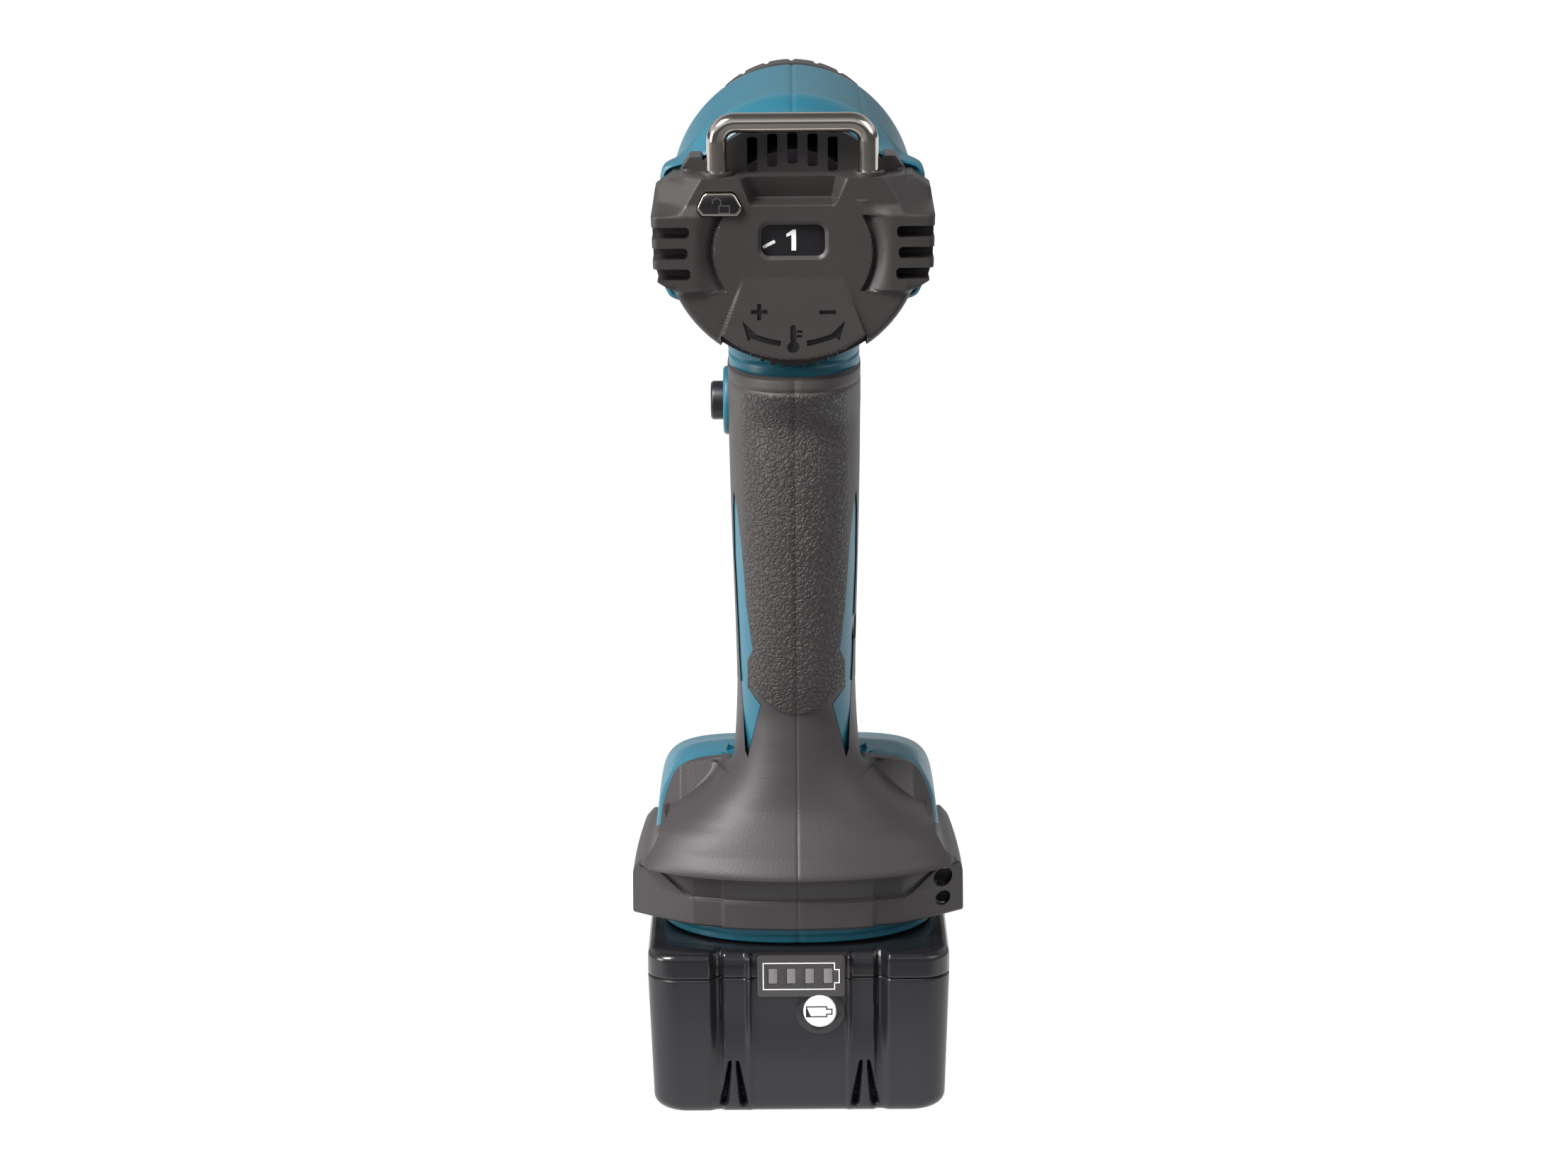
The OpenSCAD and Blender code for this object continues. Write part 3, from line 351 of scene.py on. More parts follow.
# An outline in x and z, drawn out from one depth to another
def prismPiece(name, outline, depth0, depth1):
    clearSelection()
    bpy.ops.mesh.primitive_circle_add(vertices=len(outline), fill_type="NGON")
    made = bpy.context.object
    made.name = made.data.name = name
    x, z = np.array(outline, float).T
    made.data.vertices.foreach_set("co", toWorld(x, depth0 + 0 * x, z).ravel())
    bpy.ops.object.mode_set(mode="EDIT")
    bpy.ops.mesh.select_all(action="SELECT")
    bpy.ops.mesh.extrude_region_move(TRANSFORM_OT_translate={"value": (0, (depth1 - depth0) * mm, 0)})
    outwards()
    return made


# Ends edit mode with the doubles merged and the faces outwards
def outwards():
    bpy.ops.mesh.select_all(action="SELECT")
    bpy.ops.mesh.remove_doubles(threshold=1e-6)
    bpy.ops.mesh.normals_make_consistent(inside=False)
    bpy.ops.object.mode_set(mode="OBJECT")


# A tube-like grid with its long edges joined and its two rims filled
def closedRims(piece, reach):
    bpy.ops.object.mode_set(mode="EDIT")
    bpy.ops.mesh.select_all(action="SELECT")
    bpy.ops.mesh.remove_doubles(threshold=reach)
    bpy.ops.mesh.select_all(action="DESELECT")
    bpy.ops.mesh.select_non_manifold(extend=False, use_wire=False, use_multi_face=False,
                                     use_non_contiguous=False, use_verts=False)
    bpy.ops.mesh.edge_face_add()
    outwards()
    return piece


def barPiece(name, x0, x1, depth0, depth1, z0, z1):
    return prismPiece(name, [(x0, z0), (x1, z0), (x1, z1), (x0, z1)], depth0, depth1)


def rodPiece(name, radius, start, along, length, sides=64):
    clearSelection()
    turn = {"x": (0, math.radians(90), 0), "y": (math.radians(-90), 0, 0), "z": (0, 0, 0)}[along]
    middle = list(start)
    middle["xyz".index(along)] += length / 2
    bpy.ops.mesh.primitive_cylinder_add(vertices=sides, radius=radius * mm, depth=length * mm,
                                        location=tuple(toWorld(*middle)), rotation=turn)
    made = bpy.context.object
    made.name = made.data.name = name
    bpy.ops.object.transform_apply()
    return made


def finishStep(piece, kind, **settings):
    step = piece.modifiers.new(kind.lower(), kind)
    for key, value in settings.items():
        setattr(step, key, value)
    bpy.context.view_layer.objects.active = piece
    bpy.ops.object.modifier_apply(modifier=step.name)


def cutWith(piece, *tools, how="DIFFERENCE"):
    for tool in tools:
        finishStep(piece, "BOOLEAN", object=tool, operation=how, solver="MANIFOLD")
        bpy.data.objects.remove(tool)
    return piece


def joined(name, *pieces):
    clearSelection()
    for piece in pieces:
        piece.select_set(True)
    bpy.context.view_layer.objects.active = pieces[0]
    bpy.ops.object.join()
    pieces[0].name = pieces[0].data.name = name
    return pieces[0]


def mirrored(piece, name):
    clearSelection()
    piece.select_set(True)
    bpy.context.view_layer.objects.active = piece
    bpy.ops.object.duplicate()
    made = bpy.context.object
    made.name = made.data.name = name
    made.data.transform([[-1, 0, 0, 0], [0, 1, 0, 0], [0, 0, 1, 0], [0, 0, 0, 1]])
    made.data.flip_normals()
    return made


def softEdges(piece, width=0.3, segments=2, angle=30):
    finishStep(piece, "BEVEL", width=width * mm, segments=segments, limit_method="ANGLE",
               angle_limit=math.radians(angle), harden_normals=False)


def smooth(piece, angle=35):
    clearSelection()
    piece.select_set(True)
    bpy.context.view_layer.objects.active = piece
    bpy.ops.object.shade_smooth_by_angle(angle=math.radians(angle))


# Gives a finished piece the material of its slot, smooth shading and its body, and hides the CAD nodes that
# it stands for
def settle(piece, body, slotName, *nodes, material=None, angle=35):
    piece.data.materials.clear()
    piece.data.materials.append(materials[material or slotName])
    smooth(piece, angle)
    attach(piece, body)
    if nodes:
        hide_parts(*nodes)
    return piece


# Each row of a body's table: height, rear, widest, front, half width, rear power, front power
def bodyRing(table, z, share, grow=0.0):
    columns = np.array(table, float).T
    rear, widest, front, half, rearPower, frontPower = [curveAt(columns[0], c, z) for c in columns[1:]]
    angle = (share - 0.5) * math.pi
    power = 2 / np.where(angle > 0, frontPower, rearPower)
    reach = np.where(angle > 0, front - widest, widest - rear) + grow
    x = (half + grow) * np.cos(angle).clip(0, 1) ** power
    return x, widest + reach * np.sign(np.sin(angle)) * np.abs(np.sin(angle)) ** power


# Rear cover
barrelZ, dialZ = 220, 207.5
legX, legDepth = 18, 6.6  # the hook's two legs
lockDepth, lockZ = 35, 175  # the lock-off bolt's axis
seamGap = 0.012  # between each half and the middle plane
# ink is how far the near-black floors of the signs, which are painted shade, stand out of the cut floors
cover = {
    "radius": 30.8, "front": 21.9, "plate": 2.2, "lipRadius": 28.7, "footTop": 235.2, "ledge": 235.1,
    "pocketFloor": 7.2, "pocketHalf": 10.2, "grille": 11.4, "window": (7.55, 3.75), "windowCorner": 1.9,
    "windowZ": 219.9, "plateau": 0.7, "hollow": 1.7, "rim": 1.8, "bulgeHalf": 33.7, "width": 69.6,
    "low": 186, "height": 64, "legHole": 2.6, "ink": 0.12,
}


def roundedGap(x, z, halfWidth, halfHeight, corner):
    dx, dz = np.abs(x) - halfWidth + corner, np.abs(z) - halfHeight + corner
    return np.hypot(dx.clip(0), dz.clip(0)) + np.minimum(np.maximum(dx, dz), 0) - corner


def coverFace(u, v):
    c = cover
    x = (u - 0.5) * c["width"]
    z = c["low"] + v * c["height"]
    ax = np.abs(x)
    depth = np.full_like(x, c["plate"])
    radius = np.hypot(x, z - barrelZ)
    # chamfer outside the feet, and their sloping tops
    outside = ((ax - 21.5) * 6.4 + (z - 235) * 3.7) / 7.39
    depth += outside.clip(0) * 1.05 * eased(z, 224.5, 227)
    depth += (z - c["footTop"]).clip(0, 1.4) * 0.9
    # pocket between the feet
    wall = c["pocketHalf"] + (z - 228.6).clip(0, 6.6) * 0.5
    inPocket = eased(wall - ax, 0, 1.0 + (wall - c["pocketHalf"]) * 0.75) * eased(z, 228.3, 229.5)
    depth += (c["pocketFloor"] + 0.9 - (z - 229) * 0.35 - depth) * inPocket
    back = np.maximum(eased(z, c["ledge"] - 0.15, c["ledge"] + 0.25), eased(z, 234.9, 235.3) * (ax < 13))
    depth += (c["grille"] - depth) * back
    # vented swellings: a hollowed inner wall, a sloping top and an undercut foot
    arc = 19.1 - 0.033 * (z - 217.2) ** 2
    rise = eased(ax, arc, 23.8) ** 0.8 * (1 - eased(z, 225.6, 228.8) * eased(ax, 15, 19))
    rise = rise * eased(z, 207.0, 208.2)
    hollow = eased(ax, arc - 0.3, arc + 0.3) * (1 - eased(z, 225.4, 226.0))
    depth += c["hollow"] * (hollow * eased(z, 207.6, 208.0) * (ax < 27)) * (1 - rise)
    depth += (c["plateau"] - depth) * rise * (z < 229.5)
    # wedge under the window
    edge = 11.9 + (211.2 - z) * 0.39
    wedge = (211.2 - z).clip(0) * 0.102 * eased(edge - ax, -0.25, 0.35)
    depth -= wedge * (radius < 29.6)
    # rounded rims
    bulge = np.minimum(c["bulgeHalf"] - ax, np.minimum(234 - z, z - 207.9))
    nearEdge = np.maximum(c["radius"] - radius, np.where(ax > 24, bulge, -9))
    roll = (c["rim"] - nearEdge).clip(0, c["rim"])
    depth += (c["rim"] - np.sqrt((c["rim"] ** 2 - roll ** 2).clip(0))) * (z < 236)
    # lip over the dial, and the room behind it
    lip = eased(radius, c["lipRadius"] - 0.15, c["lipRadius"] + 0.15) * (z < 203) * (ax < 17.4)
    depth += (c["radius"] - radius < 9) * (9.2 - depth) * lip
    nearLip = (c["lipRadius"] - radius).clip(0, 0.8)
    depth += (0.8 - np.sqrt((0.64 - (0.8 - nearLip) ** 2).clip(0))) * (1 - lip) * (z < 199) * (ax < 17.4)
    # rim of the window
    gap = roundedGap(x, z - c["windowZ"], *c["window"], c["windowCorner"])
    depth += (0.85 - gap).clip(0, 1.3) * 0.75
    return x, depth, z


# A wheel with flat-topped teeth
def starOutline(count, inner, outer, tooth, x=0.0, z=0.0):
    spots = []
    for k in range(count):
        for offset, radius in ((-0.5, inner), (-tooth, inner), (-tooth * 0.7, outer), (tooth * 0.7, outer),
                               (tooth, inner)):
            angle = 2 * math.pi * (k + offset) / count
            spots.append((x + radius * math.sin(angle), z + radius * math.cos(angle)))
    return spots


def arcOutline(x, z, radius, a0, a1, count):
    angles = np.radians(np.linspace(a0, a1, count))
    return [(x + radius * math.cos(a), z + radius * math.sin(a)) for a in angles]


def roundedOutline(x, z, halfWidth, halfHeight, corner, count=5):
    spots = []
    dx, dz = halfWidth - corner, halfHeight - corner
    for sx, sz, a in ((1, 1, 0), (-1, 1, 90), (-1, -1, 180), (1, -1, 270)):
        spots += arcOutline(x + sx * dx, z + sz * dz, corner, a, a + 90, count)
    return spots


buttonOutline = [(-22.6, 227.4), (-21.6, 226.1), (-13.1, 226.1), (-12.1, 227.4), (-12.1, 228.3),
                 (-13.6, 231.0), (-14.4, 231.6), (-20.5, 231.6), (-21.3, 231.0), (-22.6, 228.3)]


def boxOutline(x0, x1, z0, z1):
    return [(x0, z0), (x1, z0), (x1, z1), (x0, z1)]


def plusOutline(x, z, arm, half):
    corner = [(half, half), (half, arm), (-half, arm)]
    turns = [(1, 0), (0, 1), (-1, 0), (0, -1)]
    return [(x + px * c - pz * s, z + px * s + pz * c) for c, s in turns for px, pz in corner]


# The outline made larger by an amount on each side, or smaller where it is negative
def grown(outline, amount):
    spots = np.array(outline)
    middle = spots.mean(0)
    span = np.abs(spots - middle).max(0)
    return (middle + (spots - middle) * (1 + amount / span)).tolist()


def makeCover():
    c = cover
    face = gridPiece("rearCover", 232, 214, coverFace, (0, -1, 0))
    bpy.ops.object.mode_set(mode="EDIT")
    bpy.ops.mesh.select_all(action="SELECT")
    bpy.ops.mesh.extrude_region_move(TRANSFORM_OT_translate={"value": (0, 0.04, 0)})
    outwards()
    body = rodPiece("coverBody", c["radius"], (0, -3, barrelZ), "y", c["front"] + 3, 160)
    for side in (-1, 1):
        outline = [(20, 234.6), (28.6, 234.4), (32.9, 231.2), (c["bulgeHalf"], 226), (33.3, 214),
                   (32.2, 210.4), (28.2, 207.9), (20, 207.6)]
        cutWith(body, prismPiece("bulge", [(side * x, z) for x, z in outline], -3, c["front"]), how="UNION")
    finishStep(body, "BEVEL", width=0.6 * mm, segments=2, limit_method="ANGLE", angle_limit=math.radians(20))
    crown = arcOutline(0, barrelZ - 1.5, 28.6, 42, 138, 24)
    top = [(-40, 180), (40, 180), (40, 238.7), (22, 238.7)] + crown + [(-22, 238.7), (-40, 238.7)]
    cutWith(body, prismPiece("coverTop", top, -5, 30), how="INTERSECT")
    cutWith(face, body, how="INTERSECT")
    tools = [
        prismPiece("window", roundedOutline(0, c["windowZ"], *c["window"], c["windowCorner"]), -2, 6),
        prismPiece("buttonRoom", grown(buttonOutline, 0.22), -2, 3.9),
    ]
    # the recessed signs, each an outline and the depth of its floor
    signs = [(plusOutline(-8.2, 203.0, 1.95, 0.5), 2.2), (boxOutline(6.1, 10.1, 202.3, 203.3), 2.2)]
    for k in range(-2, 3):
        low, high = (237.0, 236.3, 235.2)[abs(k)], 244.4 - 0.25 * k * k
        slot = roundedOutline(4.8 * k, (low + high) / 2, 1.2, (high - low) / 2, 0.6)
        tools.append(prismPiece("grilleSlot", slot, 8, 16))
    for side in (-1, 1):
        for k, (z, reach) in enumerate(((222.1, 24.6), (217.1, 25.0), (212.1, 24.4))):
            outline = roundedOutline(side * (reach + 8), z, 8, 1.4, 1.0)
            tools.append(prismPiece("vent", outline, -3, 9))
        tools.append(rodPiece("legHole", c["legHole"], (side * legX, legDepth, 222), "z", 22, 32))
        # an arrow, which is a curved shaft and a barbed head
        inner = arcOutline(0, barrelZ, 24.0, -97.2, -112.0, 9)
        outer = arcOutline(0, barrelZ, 25.4, -113.5, -97.2, 9)
        arrow = inner + [(-12.3, 200.9), (-10.9, 196.0)] + outer
        signs.append(([(-side * x, z) for x, z in arrow], 1.7))
    bulb = arcOutline(-0.1, 194.6, 1.45, -240, 60, 20)
    stem = [(0.55, 199.2), (0.2, 199.9), (-0.4, 199.9), (-0.85, 199.2)]
    signs += [(bulb + stem, 1.5), (boxOutline(0.7, 2.1, 198.0, 198.6), 1.6)]
    signs.append((boxOutline(0.7, 1.9, 196.9, 197.5), 1.55))
    tools += [prismPiece("sign", outline, -2, low) for outline, low in signs]
    cutter = joined("coverCutters", *tools)
    cutWith(face, cutter, rodPiece("dialRoom", 19.4, (0, 3.8, dialZ), "y", 4.9, 96),
            rodPiece("knobRoom", 8.6, (0, 7, dialZ), "y", 8, 48),
            rodPiece("innerRoom", 28.2, (0, 14, barrelZ), "y", 12, 96))
    settle(face, "tool", "dark_shell", "rear_cover", angle=28)
    # near-black floors in the recessed signs, in the ink material: painted shade
    shadeFloors = [prismPiece("signShadeFloor", outline, low - c["ink"], low + 0.3) for outline, low in signs]
    settle(joined("coverSignShadeFloors", *shadeFloors), "tool", "dark_shell", material="ink")
    for side in (-1, 1):
        name = "legCollarLeft" if side < 0 else "legCollarRight"
        collar = rodPiece(name, 3.9, (side * legX, legDepth, 234.8), "z", 1.15, 40)
        cutWith(collar, rodPiece("collarHole", c["legHole"], (side * legX, legDepth, 234), "z", 4, 40))
        softEdges(collar, 0.4, 3)
        settle(collar, "tool", "dark_shell")


makeCover()
print("rear cover made")


# Dial; the turn is the angle from one number to the next
dial = {
    "radius": 18.7, "rear": 4.2, "front": 8.2, "teeth": 44, "tooth": 0.75, "numbers": 6, "turn": 48,
    "numberRing": 12.3, "numberSize": 6.8, "dashRing": 12.7, "paint": (-0.09, 0.1),
}


def makeDial():
    d = dial
    wheel = starOutline(d["teeth"], d["radius"] - d["tooth"], d["radius"], 0.27, 0, dialZ)
    disc = prismPiece("temperatureDial", wheel, d["rear"], d["front"])
    softEdges(disc, 0.22, 2, 40)
    cutWith(disc, rodPiece("dialBore", 3.05, (0, d["rear"] + 0.8, dialZ), "y", 6, 40))
    settle(disc, "dial", "gloss_black", "temperature_dial")
    low, high = [d["rear"] + step for step in d["paint"]]
    # the figure 1, then the other numbers as text
    one = [(-0.4, -2.5), (0.7, -2.5), (0.7, 2.5), (-0.05, 2.5), (-1.6, 1.45), (-1.6, 0.75), (-0.4, 1.25)]
    marks = [prismPiece("one", [(x, dialZ + d["numberRing"] + z) for x, z in one], low, high)]
    for k in range(1, d["numbers"]):
        clearSelection()
        bpy.ops.object.text_add()
        number = bpy.context.object
        number.data.body = str(k + 1)
        number.data.align_x, number.data.align_y = "CENTER", "CENTER"
        number.data.size = d["numberSize"] * mm
        number.data.extrude, number.data.offset = 0.06 * mm, 0.14 * mm
        angle = -math.radians(d["turn"]) * k
        number.rotation_euler = (math.radians(90), angle, 0)
        ring = d["numberRing"]
        spot = toWorld(ring * math.sin(angle), d["rear"] - 0.03, dialZ + ring * math.cos(angle))
        number.location = tuple(spot)
        bpy.ops.object.convert(target="MESH")
        bpy.ops.object.transform_apply()
        marks.append(bpy.context.object)
    for k in range(d["numbers"]):
        angle = -math.radians(d["turn"]) * k - math.radians(d["turn"] / 2 + 3)
        along, across = (math.cos(angle), -math.sin(angle)), (math.sin(angle), math.cos(angle))
        ends = ((-1, -1), (-1.12, 0), (-1, 1), (1, 1), (1.12, 0), (1, -1))
        corners = [(s * 1.5, t * 0.38) for s, t in ends]
        outline = [(d["dashRing"] * across[0] + s * along[0] + t * across[0],
                    dialZ + d["dashRing"] * across[1] + s * along[1] + t * across[1]) for s, t in corners]
        marks.append(prismPiece("dash", outline, low, high))
    settle(joined("dialMarks", *marks), "dial", "pale_plastic", material="paint")


makeDial()
print("dial made")


# Hook and its button
hook = {"wire": 2.4, "bend": 4.4, "top": 247.5, "foot": 229.5, "button": (0.9, 2.4), "sign": (0.78, 0.95)}


def wirePiece(name, spots, radius, sides=24):
    # rings of points around the route, each square to it
    spots = np.array(spots, float)
    count = len(spots)
    ahead = np.gradient(spots, axis=0)
    ahead /= np.linalg.norm(ahead, axis=1)[:, None]
    sideways = np.array([0, 1.0, 0])
    ring = np.cross(ahead, sideways)
    ring /= np.linalg.norm(ring, axis=1)[:, None]
    other = np.cross(ahead, ring)

    def place(u, v):
        k = np.rint(v * (count - 1)).astype(int)
        angle = u * 2 * math.pi
        spot = spots[k] + radius * (np.cos(angle)[:, None] * ring[k] + np.sin(angle)[:, None] * other[k])
        return spot[:, 0], spot[:, 1], spot[:, 2]

    return closedRims(gridPiece(name, sides, count - 1, place), 1e-6)


def makeHook():
    low, high, bend = hook["foot"], hook["top"], hook["bend"]
    leg = [low + 0.4, low + 0.8, high - bend - 0.5]
    corners = arcOutline(-legX + bend, high - bend, bend, 180, 90, 13) + arcOutline(
        legX - bend, high - bend, bend, 90, 0, 13)
    route = [(-legX, z) for z in leg] + corners + [(legX, z) for z in reversed(leg)]
    wire = wirePiece("hangingHook", [(x, legDepth, z) for x, z in route], hook["wire"], 28)
    settle(wire, "hook", "nickel", "hook")
    button = prismPiece("hookButton", buttonOutline, *hook["button"])
    softEdges(button, 0.35, 3, 20)
    settle(button, "hook_release", "nickel", "hook_button")
    plate = prismPiece("hookButtonFace", grown(buttonOutline, -0.55), 0.86, 1.4)
    softEdges(plate, 0.12, 2, 20)
    settle(plate, "hook_release", "gloss_black")
    # its sign, an open padlock
    low, high = hook["sign"]
    shackle = arcOutline(-18.0, 229.4, 1.15, 0, 200, 12) + arcOutline(-18.0, 229.4, 0.85, 200, 0, 12)
    lines = [barPiece("lockFrame", -17.6, -14.9, low, high, 226.7, 228.7),
             prismPiece("lockShackle", shackle, low, high),
             barPiece("lockPost", -17.15, -16.85, low, high, 228.6, 229.5)]
    cutWith(lines[0], barPiece("lockHole", -17.35, -15.15, 0, 2, 226.95, 228.45))
    settle(joined("hookButtonSign", *lines), "hook_release", "nickel")


makeHook()
print("hook made")


# Barrel, with its taper as depth and radius, and the ring at its front
barrel = {
    "rear": 22.0, "front": 137.5, "wall": 2, "flankHalf": 31.9, "ring": 26.1, "ringBore": 17.6, "notch": 0.95,
}
barrelTaper = [(0, 31.0), (60, 31.0), (85, 30.8), (100, 29.9), (112, 28.6), (125, 27.0), (137.5, 25.3)]


def barrelPlace(u, v):
    b = barrel
    along = b["rear"] + v * (b["front"] - b["rear"])
    angle = u * math.pi  # 0 on top, pi underneath
    knots = np.array(barrelTaper).T
    radius = curveAt(knots[0], knots[1], along)
    # top slopes in towards the cover, and the flanks swell beside it
    top = 1 - eased(np.degrees(angle), 44, 62)
    radius = radius - (1 - eased(along, 22, 35)) * 3.6 * top
    flank = eased(np.degrees(angle), 57, 66) * (1 - eased(np.degrees(angle), 118, 128))
    swell = (1 - eased(along, 30, 47)) * flank
    radius = radius + 3.4 * swell
    x = radius * np.sin(angle)
    z = radius * np.cos(angle)
    x = np.where(x > b["flankHalf"], b["flankHalf"] - (x - b["flankHalf"]) * 0.1, x)
    # shallow crease along the top and a rounded seam
    crease = np.exp(-((x - 17) / 0.35) ** 2) * (z > 0) * eased(along, 26, 30)
    shrink = 1 - crease * 0.2 / radius
    seam = 0.35 * np.exp(-(x / 0.45) ** 2)
    endRoll = 0.8 * (1 - eased(along, 22, 22.8)) ** 2 + 0.8 * eased(along, 136.6, 137.5) ** 2
    shrink = shrink - (seam + endRoll) / radius
    return seamGap + x * shrink, along, barrelZ + z * shrink


def shelled(piece, thickness):
    finishStep(piece, "SOLIDIFY", thickness=thickness * mm, offset=-1)
    return piece


def makeBarrel():
    right = shelled(gridPiece("housingRightBarrel", 150, 190, barrelPlace), barrel["wall"])
    settle(right, "tool", "teal", "housing_right")
    settle(mirrored(right, "housingLeftBarrel"), "tool", "teal", "housing_left")
    ring = rodPiece("frontRing", barrel["ring"], (0, barrel["front"] + 0.1, barrelZ), "y", 8.3, 128)
    cutWith(ring, rodPiece("ringBore", barrel["ringBore"], (0, 130, barrelZ), "y", 30, 96),
            rodPiece("ringStep", 22.6, (0, 145.0, barrelZ), "y", 5, 96))
    for angle in range(0, 360, 15):
        spot = (26.6 * math.cos(math.radians(angle)), 139.5, barrelZ + 26.6 * math.sin(math.radians(angle)))
        cutWith(ring, rodPiece("ringNotch", barrel["notch"], spot, "y", 12, 16))
    softEdges(ring, 0.5, 3, 40)
    settle(ring, "tool", slotOf["front_collar"], "front_collar")


# Neck and lock-off bolt
neckZ = {"low": 182.9, "height": 19, "groove": 188.4}
neck = [
    [182.9, 9.0, 30, 61, 15.6, 2.6, 3], [185.5, 9.2, 30, 62, 16.0, 2.6, 3],
    [189, 9.4, 31, 64, 16.1, 2.6, 3], [193, 9.4, 31, 66, 16.3, 2.6, 3], [202, 9.4, 31, 70, 18.5, 2.6, 3],
]


def neckPlace(u, v):
    z = neckZ["low"] + v * neckZ["height"]
    x, depth = bodyRing(neck, z, u)
    groove = 0.35 * np.exp(-((z - neckZ["groove"] - 0.002 * x * x) / 0.3) ** 2)
    middle = 31
    depth = depth + (middle - depth) * groove / 20
    return seamGap + x * (1 - groove / 16), depth, z


def makeNeck():
    right = shelled(gridPiece("housingRightNeck", 90, 60, neckPlace), 2)
    settle(right, "tool", "teal", "housing_right")
    settle(mirrored(right, "housingLeftNeck"), "tool", "teal", "housing_left")
    boss = rodPiece("lockBoss", 8.5, (-17.5, lockDepth, lockZ), "x", 6, 72)
    softEdges(boss, 0.9, 3)
    cutWith(boss, rodPiece("boltBore", 4.9, (-19, lockDepth, lockZ), "x", 12, 64))
    settle(boss, "tool", "teal", "housing_left")
    bolt = rodPiece("lockBolt", 4.8, (-20.6, lockDepth, lockZ), "x", 35.7, 64)
    softEdges(bolt, 0.8, 3)
    settle(bolt, "lock_bolt", "black_plastic", "lock_bolt")


makeBarrel()
makeNeck()
print("barrel and neck made")


# Grip with its coloured stripes, over the handle of the housing
waistZ, gripTop, gripEdge = 98.9, 183.0, 186.6
gripMiddle = 30


def gripZ(share):
    return waistZ + share * (gripTop - waistZ)


handle = [
    [68.9, 16, 32, 60, 15.5, 2.3, 2.6], [78.9, 15, 32, 57, 15.5, 2.3, 2.6],
    [91.9, 14.5, 32, 54, 15, 2.3, 2.6],
    [gripZ(0), 14, 32, 52, 14.8, 2.3, 2.6], [gripZ(0.11), 11, 31, 50.5, 14.8, 2.3, 2.6],
    [gripZ(0.25), 8.4, 30, 50, 15, 2.3, 2.6], [gripZ(0.42), 6.8, 30, 50.5, 15.4, 2.3, 2.6],
    [gripZ(0.6), 6, 30, 52, 15.8, 2.3, 2.6], [gripZ(0.78), 6.6, 30, 54, 16.1, 2.3, 2.6],
    [173.0, 7.6, 30, 55, 16.2, 2.3, 2.6], [177.6, 5.4, 30, 56, 16.3, 2.4, 2.6],
    [182.4, 2.6, 30, 57, 16.3, 2.5, 2.6], [186.8, 3.2, 30, 58, 16.3, 2.6, 2.6],
]
stripe = [(15.0, 155.4), (14.3, 152), (13.2, 142.2), (12.1, 127), (10.7, 116.2), (12.0, 113), (12.1, 105.7),
          (8.9, 101.8), (12.2, 87.9), (12.9, 89.5), (13.2, 96.3), (14.0, 110.5), (14.5, 124.3), (15.05, 138),
          (15.2, 150)]


def gripPlace(u, v):
    share = u ** 0.9
    x, _ = bodyRing(handle, gripZ(v), share)
    # the lower end is a curve behind and straight in front
    low = 99.4 + 4.4 * (np.minimum(x, 13) / 9) ** 2
    low = np.minimum(low, 105.6) * (share < 0.5) + 104 * (share >= 0.5)
    z = low + v * (gripEdge - low)
    x, depth = bodyRing(handle, z, share)
    # rounded ends, the seam and a groove under the smooth band on top
    edge = 0.9 * (1 - eased(gripEdge - z, 0, 1.0)) ** 2 + 0.7 * (1 - eased(z - low, 0, 0.9)) ** 2
    seam = 0.22 * np.exp(-(x / 0.28) ** 2)
    inset = edge + seam + 0.22 * np.exp(-((gripEdge - 3.6 - z) / 0.4) ** 2)
    shrink = 1 - inset / 15.5
    return seamGap + x * shrink, gripMiddle + (depth - gripMiddle) * shrink, z


def stripeOutline(side, grow):
    return [(side * x, z) for x, z in grown(stripe, grow)]


def triggerRoom():
    return barPiece("triggerRoom", -8, 7.5, 41, 80, 155.1, 184.8)


def gripHalf(name, holeRadius):
    made = shelled(gridPiece(name, 130, 230, gripPlace), 1.9)
    cutWith(made, prismPiece("stripeCut", stripeOutline(1, 0.05), -6, 26), triggerRoom(),
            rodPiece("bossCut", holeRadius, (8, lockDepth, lockZ), "x", 20, 72))
    return made


# The housing inside the grip: closed on top, and at full size where it shows below the grip in front
def corePlace(u, v):
    z = 76 + (v / 0.96).clip(0, 1) * 106.6
    cap = ((v - 0.96) / 0.04).clip(0, 1)
    bare = 1.9 * (1 - eased(z, 102, 104.5)) * eased(u, 0.52, 0.6)
    x, depth = bodyRing(handle, z, u, -2.0)
    x = x + bare * np.cos((u - 0.5) * math.pi)
    depth = depth + bare * np.sin((u - 0.5) * math.pi).clip(0)
    return seamGap + x * (1 - 0.6 * cap), depth + (32 - depth) * 0.6 * cap, z


def stripePlace(u, v):
    z = 88 + v * 76
    x, depth = bodyRing(handle, z, u * 0.5, -0.3)
    return x, depth, z


